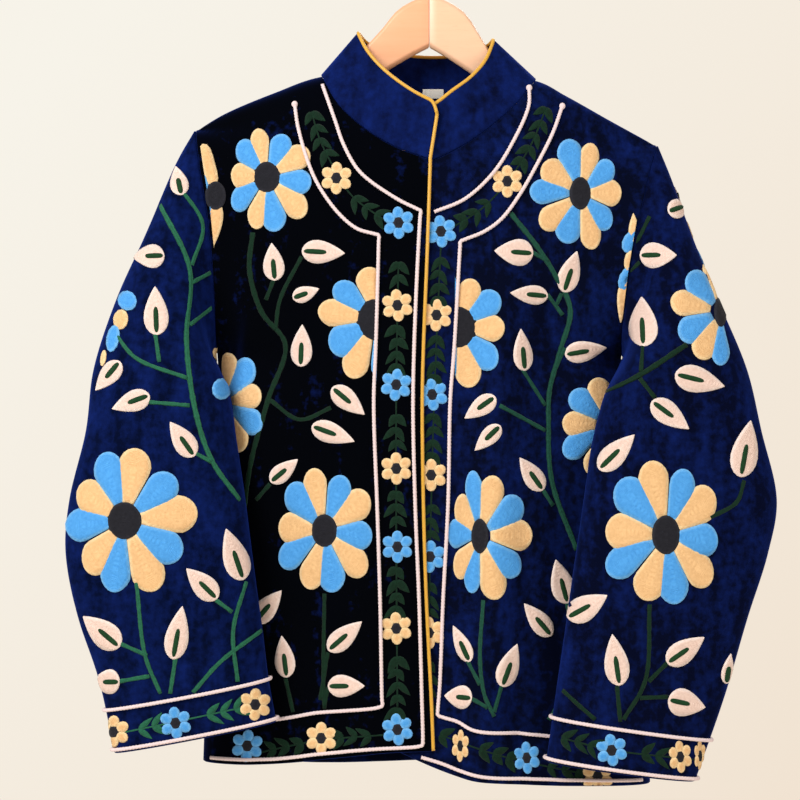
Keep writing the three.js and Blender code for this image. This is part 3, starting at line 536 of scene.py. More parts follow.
def sleeve_point(side, w, turn):
    """The middle of a sleeve: w from armhole to cuff, turn from the outer fold over the front."""
    w, turn = np.broadcast_arrays(np.asarray(w, float), np.asarray(turn, float))
    rings = SLEEVE_RINGS[side]
    top = SIDE_EDGE[side][0][UP]
    low_out = float(read(side_edge[side], UP, OUT, UNDERARM[side]))
    first_outer = (SIGN[side] * (SIDE_EDGE[side][0][OUT] + SLEEVE_GAP), 0, top)
    first_inner = (SIGN[side] * (low_out + SLEEVE_GAP), 0, UNDERARM[side])
    outer = curve([first_outer] + [ring.outer for ring in rings])
    inner = curve([first_inner] + [ring.inner for ring in rings])
    halves = [ARMHOLE_DEPTH] + [ring.half for ring in rings]

    def ring_point(w):
        centre = (outer(w) + inner(w)) / 2
        arm = (outer(w) - inner(w)) / 2
        chord = arm / np.linalg.norm(arm, axis=-1, keepdims=True)
        front = np.array([0.0, -1.0, 0.0]) + chord * chord[..., 1:2]
        front /= np.linalg.norm(front, axis=-1, keepdims=True)
        half = np.interp(w * (len(halves) - 1), range(len(halves)), halves)
        a = power_wave(np.cos(turn), SLEEVE_POWER)
        b = power_wave(np.sin(turn), SLEEVE_POWER)
        return centre + arm * a[..., None] + front * (b * half)[..., None]

    share = 0.5 - 0.5 * power_wave(np.cos(turn), ARMHOLE_POWER)
    up = top + (UNDERARM[side] - top) * share
    out = read(side_edge[side], UP, OUT, up) + SLEEVE_GAP
    loop = np.stack([SIGN[side] * out, -np.sign(np.sin(turn)) * armhole_depth(side, up), up], -1)
    leaving = (1 - smooth(w / SLEEVE_BLEND))[..., None]
    return ring_point(w) + (loop - ring_point(np.zeros_like(w))) * leaving


# %% Surface of the collar
def collar_foot(t):
    """The neck seam, from the lapping front edge round the back to the lapped one."""
    place = np.clip(np.asarray(t, float), 0, 1) * 4
    parts = [
        ("front", "right", place), ("back", "right", 2 - place),
        ("back", "left", place - 2), ("front", "left", 4 - place),
    ]
    quarter = np.minimum(place.astype(int), 3)
    foot = np.zeros(place.shape + (3,))
    for k, (face, side, share) in enumerate(parts):
        points = panel_point(face, side, np.clip(share, 0, 0.99999) * NECK_SHARE, 0.0)
        foot = np.where((quarter == k)[..., None], points, foot)
    return foot + np.array([0, 0, COLLAR_GAP])


def collar_point(t, high):
    """The middle of the collar: high is 0 at the seam and 1 at the top edge."""
    t, high = np.broadcast_arrays(np.asarray(t, float), np.asarray(high, float))
    rows = np.interp(t * 4, range(5), COLLAR_QUARTERS)
    top = curve(COLLAR_TOP)(rows / COLLAR_QUARTERS[-1])
    top[..., 1] += (smooth(1 - (1 - t) * 6) - smooth(1 - t * 6)) * LAP
    foot = collar_foot(t)
    beside = collar_foot(np.where(t < 0.5, t + 0.02, t - 0.02))
    from_end = np.minimum(t, 1 - t) * np.linalg.norm(foot - beside, axis=-1) * 50
    cut = np.maximum(0, 1 - from_end / COLLAR_ROUND)
    reach = 1 - COLLAR_ROUND / np.linalg.norm(foot - top, axis=-1) * cut * cut
    return foot + (top - foot) * (high * reach)[..., None]


print("shoulder width, mm:", SHOULDER["right"][-1][OUT] + SHOULDER["left"][-1][OUT])

# %% [markdown]
# ## The cloth
#
# Each panel is a closed wall two millimetres thick, with a rounded rim all round. It starts from
# the pattern's surface. Then the creases are pressed in: soft troughs and ridges, each along a
# short line, deeper where the cloth is pushed together at the elbows and the waist.

# %% Creases
Crease = namedtuple("Crease", "x0 z0 x1 z1 width depth")
CREASES = {
    "front_right": [
        Crease(-186, -316, -155, -392, 8, 2.2), Crease(-155, -351, -120, -461, 10, -2.0),
        Crease(-169, -368, -175, -461, 6, 2.6), Crease(-166, -517, -78, -563, 15, 1.6),
        Crease(-171, -590, -92, -664, 13, -1.8), Crease(-120, -627, -123, -779, 12, 2.4),
        Crease(-77, -645, -72, -779, 11, -2.2), Crease(-155, -682, -158, -783, 8, -2.4),
        Crease(-182, -241, -120, -287, 11, -1.5),
    ],
    "front_left": [
        Crease(156, -296, 106, -379, 9, -2.4), Crease(193, -351, 136, -425, 8, 2.2),
        Crease(69, -342, 63, -461, 6, 2.2), Crease(37, -461, 29, -627, 8, -1.6),
        Crease(83, -507, 92, -673, 8, -2.2), Crease(120, -471, 156, -553, 9, 2.0),
        Crease(37, -645, 44, -793, 9, 2.4), Crease(75, -664, 86, -797, 8, -2.6),
        Crease(116, -682, 125, -802, 9, 2.2), Crease(120, -250, 175, -287, 10, 1.4),
    ],
    "back": [
        Crease(-150, -300, -70, -380, 12, 2.2), Crease(150, -300, 70, -390, 12, -2.2),
        Crease(-40, -250, -30, -420, 14, -1.8), Crease(40, -330, 52, -520, 12, 2.0),
        Crease(-120, -470, -60, -560, 14, 1.8), Crease(-100, -640, -96, -790, 12, 2.6),
        Crease(-30, -660, -36, -790, 12, -2.4), Crease(48, -640, 44, -790, 12, 2.6),
        Crease(110, -620, 118, -795, 12, -2.6), Crease(-160, -180, -60, -200, 12, -1.2),
    ],
    "sleeve_right": [
        Crease(-258, -259, -234, -351, 8, -2.4), Crease(-215, -305, -232, -379, 8, 2.2),
        Crease(-285, -425, -221, -452, 9, -2.0), Crease(-307, -480, -258, -491, 7, 2.0),
        Crease(-328, -633, -271, -664, 6, -3.0), Crease(-311, -673, -258, -690, 6, 2.6),
        Crease(-300, -693, -239, -682, 6, -2.2), Crease(-230, -627, -175, -664, 8, -2.0),
        Crease(-215, -590, -166, -618, 7, 1.8), Crease(-258, -710, -156, -673, 7, 1.6),
    ],
    "sleeve_left": [
        Crease(239, -287, 223, -379, 7, 2.4), Crease(215, -277, 190, -379, 8, -2.2),
        Crease(313, -535, 248, -553, 7, 2.2), Crease(307, -561, 239, -590, 6, -2.4),
        Crease(175, -461, 239, -480, 9, 1.8), Crease(248, -664, 156, -682, 8, -1.8),
        Crease(267, -636, 212, -664, 6, 1.8), Crease(248, -719, 193, -730, 6, 1.6),
    ],
    "collar": [
        Crease(-78, -158, -18, -196, 6, 1.5), Crease(-72, -134, -9, -184, 6, -1.2),
        Crease(-64, -185, -23, -213, 5, 1.3), Crease(18, -213, 64, -171, 5, 1.6),
        Crease(17, -198, 61, -156, 5, -1.5), Crease(20, -184, 53, -152, 4, 1.0),
    ],
}


def creased(points, normals, creases, behind):
    """How far the creases push each point out, on the side of the cloth that they are seen on."""
    push = np.zeros(points.shape[:-1])
    x, z = points[..., 0], points[..., 2]
    for crease in creases:
        along = np.array([crease.x1 - crease.x0, crease.z1 - crease.z0], float)
        length = np.linalg.norm(along)
        along /= length
        far = ((x - crease.x0) * along[0] + (z - crease.z0) * along[1]) / length
        off = ((x - crease.x0) * along[1] - (z - crease.z0) * along[0]) / crease.width
        push += crease.depth * np.exp(-off * off) * smooth(far * 2.5 + 0.3) * smooth((1 - far) * 2.5 + 0.3)
    seen = normals[..., 1] if behind else -normals[..., 1]
    return push * smooth(np.abs(seen) * 1.5) * np.where(seen > 0, 1.0, -0.75)


# %% Walls of cloth
def grid_normals(grid, closed, outwards):
    """Normals of a grid of points, towards the side that outwards points to."""
    if closed:
        across = np.roll(grid, -1, 0) - np.roll(grid, 1, 0)
    else:
        across = np.gradient(grid, axis=0)
    normal = np.cross(across, np.gradient(grid, axis=1))
    normal /= np.maximum(np.linalg.norm(normal, axis=-1, keepdims=True), 1e-9)
    return normal * np.sign(np.sum(normal * outwards))


def build_mesh(name, points, faces, materials, slots=None, stitch_map=None):
    """A smooth closed mesh from points in millimetres, its doubles merged and faces outwards."""
    mesh = bpy.data.meshes.new(name)
    mesh.from_pydata((np.asarray(points) * MM).tolist(), [], [list(map(int, face)) for face in faces])
    for material in materials:
        mesh.materials.append(material)
    if slots is not None:
        mesh.polygons.foreach_set("material_index", slots)
    if stitch_map is not None:
        layer = mesh.uv_layers.new(name="stitch")
        corners = np.zeros(len(mesh.loops), int)
        mesh.loops.foreach_get("vertex_index", corners)
        layer.data.foreach_set("uv", np.asarray(stitch_map, float)[corners].ravel())
    work = bmesh.new()
    work.from_mesh(mesh)
    bmesh.ops.remove_doubles(work, verts=work.verts, dist=1e-6)
    bmesh.ops.dissolve_degenerate(work, edges=work.edges, dist=1e-6)
    bmesh.ops.recalc_face_normals(work, faces=work.faces)
    for face in work.faces:
        face.smooth = True
    work.to_mesh(mesh)
    work.free()
    piece = bpy.data.objects.new(name, mesh)
    bpy.context.collection.objects.link(piece)
    return piece


def boundary(columns, rows, closed):
    """Loops of grid places round the free edges."""
    if closed:
        return [[(i, j) for i in range(columns)] for j in (0, rows - 1)]
    loop = [(i, 0) for i in range(columns)] + [(columns - 1, j) for j in range(1, rows)]
    loop += [(i, rows - 1) for i in range(columns - 2, -1, -1)] + [(0, j) for j in range(rows - 2, 0, -1)]
    return [loop]


def cloth_wall(name, middle, normal, closed, material):
    """A wall of cloth round its middle surface. Returns the piece and its outer layer."""
    columns, rows = middle.shape[:2]
    outer = middle + normal * WALL / 2
    inner = middle - normal * WALL / 2
    points = [outer.reshape(-1, 3), inner.reshape(-1, 3)]
    index = np.arange(columns * rows).reshape(columns, rows)
    turned = np.roll(index, -1, 0) if closed else index[1:]
    here = index if closed else index[:-1]
    skin = np.stack([here[:, :-1], here[:, 1:], turned[:, 1:], turned[:, :-1]], -1).reshape(-1, 4)
    faces = [skin, skin + columns * rows]
    start = 2 * columns * rows
    for loop in boundary(columns, rows, closed):
        rim = []
        for i, j in loop:
            inside_i = i if closed else min(max(i, 1), columns - 2)
            away = middle[i, j] - middle[inside_i, min(max(j, 1), rows - 2)]
            rim.append(middle[i, j] + away / max(np.linalg.norm(away), 1e-9) * WALL * 0.42)
        points.append(np.array(rim))
        edge = np.array([index[place] for place in loop])
        mid = start + np.arange(len(loop))
        after, mid_after = np.roll(edge, -1), np.roll(mid, -1)
        faces.append(np.stack([edge, after, mid_after, mid], -1))
        faces.append(np.stack([edge + columns * rows, mid, mid_after, after + columns * rows], -1))
        start += len(loop)
    piece = build_mesh(name, np.vstack(points), np.vstack(faces), [material])
    tree = BVHTree.FromPolygons((outer.reshape(-1, 3) * MM).tolist(), skin.tolist())
    return piece, tree


def cut_size(middle, closed):
    """Width, length and area of a panel laid flat, in metres."""
    across = np.diff(np.concatenate([middle, middle[:1]]) if closed else middle, axis=0)
    width = np.linalg.norm(across, axis=-1).sum(0).max() * MM
    length = np.linalg.norm(np.diff(middle, axis=1), axis=-1).sum(1).max() * MM
    turned = np.roll(middle, -1, 0) if closed else middle[1:]
    here = middle if closed else middle[:-1]
    first = np.cross(here[:, 1:] - here[:, :-1], turned[:, :-1] - here[:, :-1])
    second = np.cross(here[:, 1:] - turned[:, 1:], turned[:, :-1] - turned[:, 1:])
    area = (np.linalg.norm(first, axis=-1).sum() + np.linalg.norm(second, axis=-1).sum()) / 2 * MM * MM
    return float(width), float(length), float(min(area, width * length))


# %% Cutting the panels
HEM_CLOSE = [0.994, 0.998, 1.0]
TOP_CLOSE = [0.0, 0.0015, 0.003, 0.0055, 0.009, 0.013, 0.018, 0.025, 0.034]
SIDE_CLOSE = [0.95, 0.962, 0.973, 0.982, 0.989, 0.995, 1.0]


def panel_rows(count):
    """Shares down a panel, close together where the cloth turns over the hanger and at the hem."""
    return np.concatenate([TOP_CLOSE, np.linspace(0.045, 0.986, count), HEM_CLOSE])


def panel_columns(count):
    """Shares across a panel, close together where it turns round to the side."""
    return np.concatenate([[0.0, 0.004], np.linspace(0.015, 0.938, count), SIDE_CLOSE])


def settle(name, middle, closed, outwards, keep):
    """The surface with its creases, where keep is how far they are allowed at each point."""
    normal = grid_normals(middle, closed, outwards)
    push = creased(middle, normal, CREASES[name], name == "back") * keep
    middle = middle + normal * push[..., None]
    return middle, grid_normals(middle, closed, outwards)


surfaces = {}
cloth = {}
cut = {}


def finish_cloth(name, middle, normal, closed):
    """Makes a panel's piece and keeps its surface for what is sewn on it."""
    cloth[name], surfaces[name] = cloth_wall(f"cloth_{name}", middle, normal, closed, VELVETS[name])
    cut[name] = cut_size(middle, closed)
    width, length, area = cut[name]
    print(f"{name}: {width:.3f} x {length:.3f} m, {area:.4f} square metres")


for side in ("right", "left"):
    u, v = np.meshgrid(panel_columns(64), panel_rows(122), indexing="ij")
    middle = panel_point("front", side, u, v)
    keep = smooth(v * 9) * (1 - u**8) * smooth(u * 14 + 0.25)
    middle, normal = settle(f"front_{side}", middle, False, np.array([0, -1, 0]), keep)
    finish_cloth(f"front_{side}", middle, normal, False)

u, v = np.meshgrid(panel_columns(50), panel_rows(112), indexing="ij")
right_half = panel_point("back", "right", u, v)[::-1]
left_half = panel_point("back", "left", u, v)
middle = np.concatenate([right_half[:-1], left_half])
u = np.concatenate([u[::-1][:-1], u])
keep = smooth(np.concatenate([v[:-1], v]) * 9) * (1 - u**8)
middle, normal = settle("back", middle, False, np.array([0, 1, 0]), keep)
finish_cloth("back", middle, normal, False)

TURNS = 96
SLEEVE_ROWS = np.concatenate([np.linspace(0, 0.992, 106), [0.996, 1.0]])
for side in ("right", "left"):
    turn, w = np.meshgrid(2 * np.pi * np.arange(TURNS) / TURNS, SLEEVE_ROWS, indexing="ij")
    middle = sleeve_point(side, w, turn)
    away = middle - middle.mean(0, keepdims=True)
    keep = smooth(w * 12) * (1 - smooth((w - 0.8) / 0.06))
    middle, normal = settle(f"sleeve_{side}", middle, True, away, keep)
    finish_cloth(f"sleeve_{side}", middle, normal, True)

COLLAR_ENDS = [0.0, 0.003, 0.007, 0.012, 0.018]
places = np.concatenate([COLLAR_ENDS, np.linspace(0.026, 0.974, 128), 1 - np.array(COLLAR_ENDS[::-1])])
t, high = np.meshgrid(places, np.linspace(1, 0, 18), indexing="ij")
middle = collar_point(t, high)
keep = smooth(high * 4) * smooth((1 - high) * 4) * smooth(np.minimum(t, 1 - t) * 14)
middle, normal = settle("collar", middle, False, middle * np.array([1, 1, 0]), keep)
finish_cloth("collar", middle, normal, False)

# %% [markdown]
# ## Reaching the cloth
#
# Everything that is sewn on is drawn flat, in the view that its maker had, and then dropped
# onto the cloth along that view. For what the photo shows, that view is the camera's. The
# hidden sides have a level view of their own, from behind or from beside a sleeve.

# %% Dropping points onto cloth
PHOTO_PLANE = -0.05      # depth, in metres, of the plane on which the front's places are measured
STAND_OFF = 1.0
EDGE_STEPS = 9           # halvings in the search for the cloth's edge


def drop_onto(panel, facing, places):
    """Points and normals of a panel's cloth at places of a view, in mm, and which of them hit."""
    tree = surfaces[panel]
    points = np.zeros((len(places), 3))
    normals = np.zeros((len(places), 3))
    hit = np.zeros(len(places), bool)
    eye = Vector(CAMERA_PLACE)
    turn = 0.0 if facing in ("photo", "level") else math.radians(facing)
    toward = Vector((-math.sin(turn), math.cos(turn), 0))
    for k, (across, up) in enumerate(np.asarray(places) * MM):
        if facing == "photo":
            start = eye
            line = (Vector((across, PHOTO_PLANE, up)) - eye).normalized()
        else:
            start = Vector((math.cos(turn) * across, math.sin(turn) * across, up)) - toward * STAND_OFF
            line = toward
        place, normal, _, _ = tree.ray_cast(start, line)
        if place is not None:
            hit[k] = True
            points[k] = place / MM
            normals[k] = -normal if normal.dot(line) > 0 else normal
    return points, normals, hit


def drop_whole(panel, facing, places):
    """The same, with places past the cloth's edge drawn in to it, so that a motif ends cleanly."""
    points, normals, hit = drop_onto(panel, facing, places)
    missing = np.flatnonzero(~hit)
    if hit.any() and len(missing):
        middle = places[hit].mean(0)
        near, far = np.zeros(len(missing)), np.ones(len(missing))
        for _ in range(EDGE_STEPS):
            share = (near + far) / 2
            tried = middle + (places[missing] - middle) * share[:, None]
            spots, outs, found = drop_onto(panel, facing, tried)
            points[missing[found]], normals[missing[found]] = spots[found], outs[found]
            hit[missing[found]] = True
            near, far = np.where(found, share, near), np.where(found, far, share)
    return points, normals, hit


# %% [markdown]
# ## Stitched shapes
#
# Every motif is put together from a few shapes, each modelled once: a daisy petal, a leaf with
# a pointed tip, the vein down its middle, a round petal for the small flowers and a disc. Each
# one is a flat grid shaped row by row, thickened, and pressed down round its rim, because chain
# stitch is plump in the middle and tight at the edge.

# %% Modelling a stitched shape
Shape = namedtuple("Shape", "points faces rim")
RIM_HEIGHT = 0.4      # height of a motif's rim as a share of its middle


def stitched_shape(name, outline, rows, columns):
    """A unit shape along +Y, shaped from a grid so that outline gives its half width."""
    bpy.ops.object.select_all(action="DESELECT")
    bpy.ops.mesh.primitive_grid_add(x_subdivisions=columns, y_subdivisions=len(rows) - 1, size=2)
    grid = bpy.context.object
    grid.name = name
    mesh = grid.data
    levels = np.round(np.linspace(-1, 1, len(rows)), 5)
    members = [[v.index for v in mesh.vertices if abs(v.co.y - level) < 1e-3] for level in levels]
    for level, along, row in zip(levels, rows, members):
        bpy.ops.object.mode_set(mode="EDIT")
        bpy.ops.mesh.select_all(action="DESELECT")
        bpy.ops.object.mode_set(mode="OBJECT")
        for k in row:
            mesh.vertices[k].select = True
        bpy.ops.object.mode_set(mode="EDIT")
        middle = (0, float(level), 0)
        bpy.ops.transform.resize(value=(max(outline(along), 0.004), 1, 1), center_override=middle)
        bpy.ops.transform.translate(value=(0, along - float(level), 0))
    bpy.ops.mesh.select_mode(type="VERT")
    bpy.ops.mesh.select_all(action="SELECT")
    bpy.ops.mesh.region_to_loop()
    bpy.ops.object.mode_set(mode="OBJECT")
    rim = {v.index for v in mesh.vertices if v.select}
    bpy.ops.object.mode_set(mode="EDIT")
    bpy.ops.mesh.select_mode(type="FACE")
    bpy.ops.mesh.select_all(action="SELECT")
    bpy.ops.mesh.extrude_region_move(TRANSFORM_OT_translate={"value": (0, 0, 1)})
    bpy.ops.object.mode_set(mode="OBJECT")
    points = np.array([v.co for v in mesh.vertices])
    faces = [list(face.vertices) for face in mesh.polygons]
    flat_rim = points[sorted(rim)][:, :2]
    for k, point in enumerate(points):
        on_rim = np.abs(flat_rim - point[:2]).sum(1).min() < 1e-4
        if on_rim and point[2] > 0.5:
            points[k, 2] = RIM_HEIGHT
    bpy.data.objects.remove(grid)
    bpy.data.meshes.remove(mesh)
    print(f"{name}: {len(points)} points, {len(faces)} faces")
    return Shape(points, faces, flat_rim)


def leaf_outline(along):
    """Round at the base, widest a third of the way up and drawn out to a soft point."""
    return max(0.0, math.sin(math.pi * along**0.66)) ** 0.84


PETAL_SLOPE = 0.352     # half width of a petal for each unit of length, so that ten of them touch
PETAL_TURN = 0.72       # where the wedge ends and its round end starts


def petal_outline(along):
    """Narrow beside the disc, then widening like a wedge to a round end."""
    if along < PETAL_TURN:
        return PETAL_SLOPE * along
    cap = (along - PETAL_TURN) / (1 - PETAL_TURN)
    return PETAL_SLOPE * PETAL_TURN * math.sqrt(max(0, 1 - cap * cap))


def round_outline(along):
    """Half a circle's width."""
    return math.sqrt(max(0, 1 - (2 * along - 1) ** 2))


def vein_outline(along):
    """A bar with round ends."""
    return min(1.0, 1.2 * math.sin(math.pi * along) ** 0.35) if 0 < along < 1 else 0.0


def rounded_rows(start, count):
    """Shares from start to 1 that crowd towards the far end."""
    return [start + (1 - start) * math.sin(math.pi / 2 * k / count) for k in range(count + 1)]


def even_rounded(count):
    """Shares from 0 to 1 that crowd towards both ends."""
    return [0.5 - 0.5 * math.cos(math.pi * k / count) for k in range(count + 1)]


PETAL_BASE = 0.2
SHAPES = {
    "petal": stitched_shape("petal", petal_outline, rounded_rows(PETAL_BASE, 10), 5),
    "leaf": stitched_shape("leaf", leaf_outline, even_rounded(12), 5),
    "sprig_leaf": stitched_shape("sprig_leaf", leaf_outline, even_rounded(6), 3),
    "small_petal": stitched_shape("small_petal", round_outline, even_rounded(6), 4),
    "disc": stitched_shape("disc", round_outline, even_rounded(12), 9),
    "small_disc": stitched_shape("small_disc", round_outline, even_rounded(7), 5),
    "vein": stitched_shape("vein", vein_outline, even_rounded(8), 3),
}


def inset_of(shape, scale):
    """How far each point of a shape lies in from its rim, in mm, when scaled."""
    flat = shape.points[:, :2] * scale
    rim = shape.rim * scale
    return np.sqrt(((flat[:, None] - rim[None]) ** 2).sum(2)).min(1)


# %% Laying shapes onto a panel
class Embroidery:
    """All the stitching on one panel, gathered into one mesh."""

    def __init__(self, panel):
        self.panel = panel
        self.points = []
        self.faces = []
        self.slots = []
        self.stitch_map = []
        self.count = 0

    def add(self, points, faces, thread, stitch_map):
        self.points.append(points)
        self.faces.extend([[k + self.count for k in face] for face in faces])
        self.slots.extend([THREAD_ORDER.index(thread)] * len(faces))
        self.stitch_map.append(stitch_map)
        self.count += len(points)

    def lay(self, shape, flat, thread, facing, height, scale, lift=0.1):
        """Drops a shape's flat places onto the cloth and raises it off it."""
        points, normals, hit = drop_whole(self.panel, facing, flat)
        high = lift + shape.points[:, 2] * height
        raised = points + normals * high[:, None]
        faces = [face for face in shape.faces if all(hit[k] for k in face)]
        if faces:
            along = shape.points[:, 1] * scale[1]
            self.add(raised, faces, thread, np.stack([along, inset_of(shape, scale)], 1))

    def piece(self):
        """The finished mesh."""
        return build_mesh(
            f"embroidery_{self.panel}", np.vstack(self.points), self.faces,
            [THREADS[name] for name in THREAD_ORDER], self.slots, np.vstack(self.stitch_map),
        )


def turned_place(points, centre, angle, scale):
    """A shape's points scaled, turned so that its length points along the angle, and placed."""
    x, y = points[:, 0] * scale[0], points[:, 1] * scale[1]
    a = math.radians(angle)
    return np.stack([
        centre[0] + x * math.sin(a) + y * math.cos(a),
        centre[1] - x * math.cos(a) + y * math.sin(a),
    ], 1)


def stretched(flat, centre, left, right, above, below):
    """A motif of unit size stretched to its reach on each side of its centre."""
    across = np.where(flat[:, 0] > 0, flat[:, 0] * right, flat[:, 0] * left)
    up = np.where(flat[:, 1] > 0, flat[:, 1] * above, flat[:, 1] * below)
    return np.stack([centre[0] + across, centre[1] + up], 1)


# %% Daisies, leaves, small flowers and stems
MOTIF_HEIGHT = 1.1
DISC_HEIGHT = 1.5
SIDEWAYS = 0.15        # a petal that leans less than this to a side belongs to neither
FOLDED_REACH = 15      # a side that reaches less than this has gone round a fold, with its petals
Daisy = namedtuple("Daisy", "x z left right above below disc_wide disc_high turn petals facing keep")


def sew_daisy(work, daisy):
    """A large flower with petals by turns blue and peach round a charcoal disc."""
    centre = (daisy.x, daisy.z)
    size = (daisy.left + daisy.right + daisy.above + daisy.below) / 4
    for k in range(daisy.petals):
        angle = daisy.turn + 360 * k / daisy.petals
        across = math.cos(math.radians(angle))
        if abs(across) > SIDEWAYS and (daisy.right if across > 0 else daisy.left) < FOLDED_REACH:
            continue
        shape = SHAPES["petal"]
        swing = 1 + 0.06 * math.sin(2.4 * k + daisy.turn)
        wide = 1 + 0.07 * math.sin(1.7 * k + daisy.turn)
        angle += 1.8 * math.sin(3.3 * k + daisy.turn)
        flat = turned_place(shape.points, (0, 0), angle, (wide, swing))
        flat = stretched(flat, centre, daisy.left, daisy.right, daisy.above, daisy.below)
        if daisy.keep is not None:
            flat[:, 0] = np.clip(flat[:, 0], *daisy.keep)
        thread = "blue" if k % 2 == 0 else "peach"
        work.lay(shape, flat, thread, daisy.facing, MOTIF_HEIGHT, (size, size))
    shape = SHAPES["disc"]
    flat = (shape.points[:, :2] - [0, 0.5]) * [1, 2]
    flat = flat * [daisy.disc_wide, daisy.disc_high] + centre
    if daisy.keep is not None:
        flat[:, 0] = np.clip(flat[:, 0], *daisy.keep)
    work.lay(shape, flat, "charcoal", daisy.facing, DISC_HEIGHT, (daisy.disc_wide, 2 * daisy.disc_high))


Leaf = namedtuple("Leaf", "x z angle length wide facing")
VEIN_START = 0.05
VEIN_LENGTH = 0.53
VEIN_WIDE = 2.3


def sew_leaf(work, leaf):
    """A pale pink leaf with a green vein from its stem to its middle."""
    a = math.radians(leaf.angle)
    base = (leaf.x - leaf.length / 2 * math.cos(a), leaf.z - leaf.length / 2 * math.sin(a))
    scale = (leaf.wide / 2, leaf.length)
    flat = turned_place(SHAPES["leaf"].points, base, leaf.angle, scale)
    work.lay(SHAPES["leaf"], flat, "pink", leaf.facing, MOTIF_HEIGHT, scale)
    clear = VEIN_START * leaf.length
    start = (base[0] + clear * math.cos(a), base[1] + clear * math.sin(a))
    scale = (VEIN_WIDE, VEIN_LENGTH * leaf.length)
    flat = turned_place(SHAPES["vein"].points, start, leaf.angle, scale)
    work.lay(SHAPES["vein"], flat, "vein", leaf.facing, 1.0, scale, lift=0.95)


SMALL_REACH = 15
SMALL_START = 3.6      # where a small flower's petals start, out from its middle
SMALL_PETAL_WIDE = 5.1
SMALL_DISC_WIDE = 5.2
SMALL_PETALS = 6
Small = namedtuple("Small", "x z thread wide facing")


def small_flower(x, z, thread, wide=1.0, facing="photo"):
    """A row of a table as a small flower, where wide is less than 1 on a fold seen half edge on."""
    return Small(x, z, thread, wide, facing)


def sew_small_flower(work, small):
    """A flower of six round petals, for the bands."""
    for k in range(SMALL_PETALS):
        angle = 90 + 360 * k / SMALL_PETALS + 7 * math.sin(small.z)
        a = math.radians(angle)
        start = (small.x + SMALL_START * math.cos(a), small.z + SMALL_START * math.sin(a))
        scale = (SMALL_PETAL_WIDE, SMALL_REACH - SMALL_START)
        flat = turned_place(SHAPES["small_petal"].points, start, angle, scale)
        flat[:, 0] = small.x + (flat[:, 0] - small.x) * small.wide
        work.lay(SHAPES["small_petal"], flat, small.thread, small.facing, 0.9, scale)
    size = [SMALL_DISC_WIDE * small.wide, 2 * SMALL_DISC_WIDE]
    flat = (SHAPES["small_disc"].points[:, :2] - [0, 0.5]) * size + [small.x, small.z]
    work.lay(SHAPES["small_disc"], flat, "charcoal", small.facing, 1.4, (SMALL_DISC_WIDE, 2 * SMALL_DISC_WIDE))


STEM_STEP = 3.5
STEM_WIDE = 4.0
MAIN_STEM_WIDE = 5.0


def sew_stem(work, route, thread, facing, wide, high=0.8):
    """A stem of twisted chain stitch along a route."""
    at, length = even(route)
    shares = np.linspace(0, 1, max(3, round(length / STEM_STEP)))
    points, normals, hit = drop_onto(work.panel, facing, at(shares))
    runs, run = [], []
    for k in range(len(shares)):
        if hit[k]:
            run.append(k)
        if (not hit[k] or k == len(shares) - 1) and run:
            runs.append(run)
            run = []
    for run in runs:
        if len(run) < 3:
            continue
        spine, out = points[run], normals[run]
        along = np.gradient(spine, axis=0)
        along /= np.maximum(np.linalg.norm(along, axis=1, keepdims=True), 1e-9)
        side = np.cross(along, out)
        side /= np.maximum(np.linalg.norm(side, axis=1, keepdims=True), 1e-9)
        section = [(-1, 0.1), (-0.7, 0.8), (0, 1.1), (0.7, 0.8), (1, 0.1)]
        spread = (wide / 2 * (1 + 0.14 * np.sin(1.9 * np.array(run)) * np.sin(0.7 * np.array(run))))[:, None]
        rings = np.stack([spine + side * spread * a + out * (0.1 + high * b) for a, b in section], 1)
        count, sides = len(run), len(section)
        faces = []
        for k in range(count - 1):
            for m in range(sides):
                a, b = k * sides + m, k * sides + (m + 1) % sides
                faces.append([a, b, b + sides, a + sides])
        faces.append(list(range(sides)))
        faces.append([(count - 1) * sides + m for m in range(sides)])
        far = np.repeat(np.arange(count) * STEM_STEP, sides)
        inset = np.tile([0.2, 0.6, 1.3, 1.9, 2.4], count)
        work.add(rings.reshape(-1, 3), faces, thread, np.stack([far, inset], 1))


SPRIG_STEP = 11.5
SPRIG_CLEAR = 17


def sew_sprigs(work, route, flowers, facing, thread="sprig", long=15, wide=7.2):
    """A band's greenery: a thin stem with leaves in pairs, clear of the small flowers."""
    at, length = even(route)
    shares = np.linspace(0, 1, max(2, round(length / SPRIG_STEP)))
    spots = at(shares)
    headings = np.gradient(spots, axis=0)
    sew_stem(work, route, thread, facing, 1.6, 0.4)
    for k, (spot, heading) in enumerate(zip(spots, headings)):
        if any(math.hypot(spot[0] - f.x, spot[1] - f.z) < SPRIG_CLEAR for f in flowers):
            continue
        angle = math.degrees(math.atan2(heading[1], heading[0]))
        for lean in (-38, 38):
            fuller, longer = 0.15 * math.sin(5.3 * k + lean), 0.18 * math.sin(3.1 * k + lean)
            scale = (wide / 2 * (1 + fuller), long * (1 + longer))
            lean += 9 * math.sin(2.3 * k + lean)
            flat = turned_place(SHAPES["sprig_leaf"].points, spot, angle + lean, scale)
            work.lay(SHAPES["sprig_leaf"], flat, thread, facing, 0.6, scale)


# %% [markdown]
# ## What is embroidered where
#
# The front's places are measured in the photo's view, in millimetres on a plane at the chest.
# A daisy has its reach to each side of the disc, so that one that turns away round a fold is
# as narrow as it looks. Where a cord cuts a daisy, keep gives the strip that is left of it.

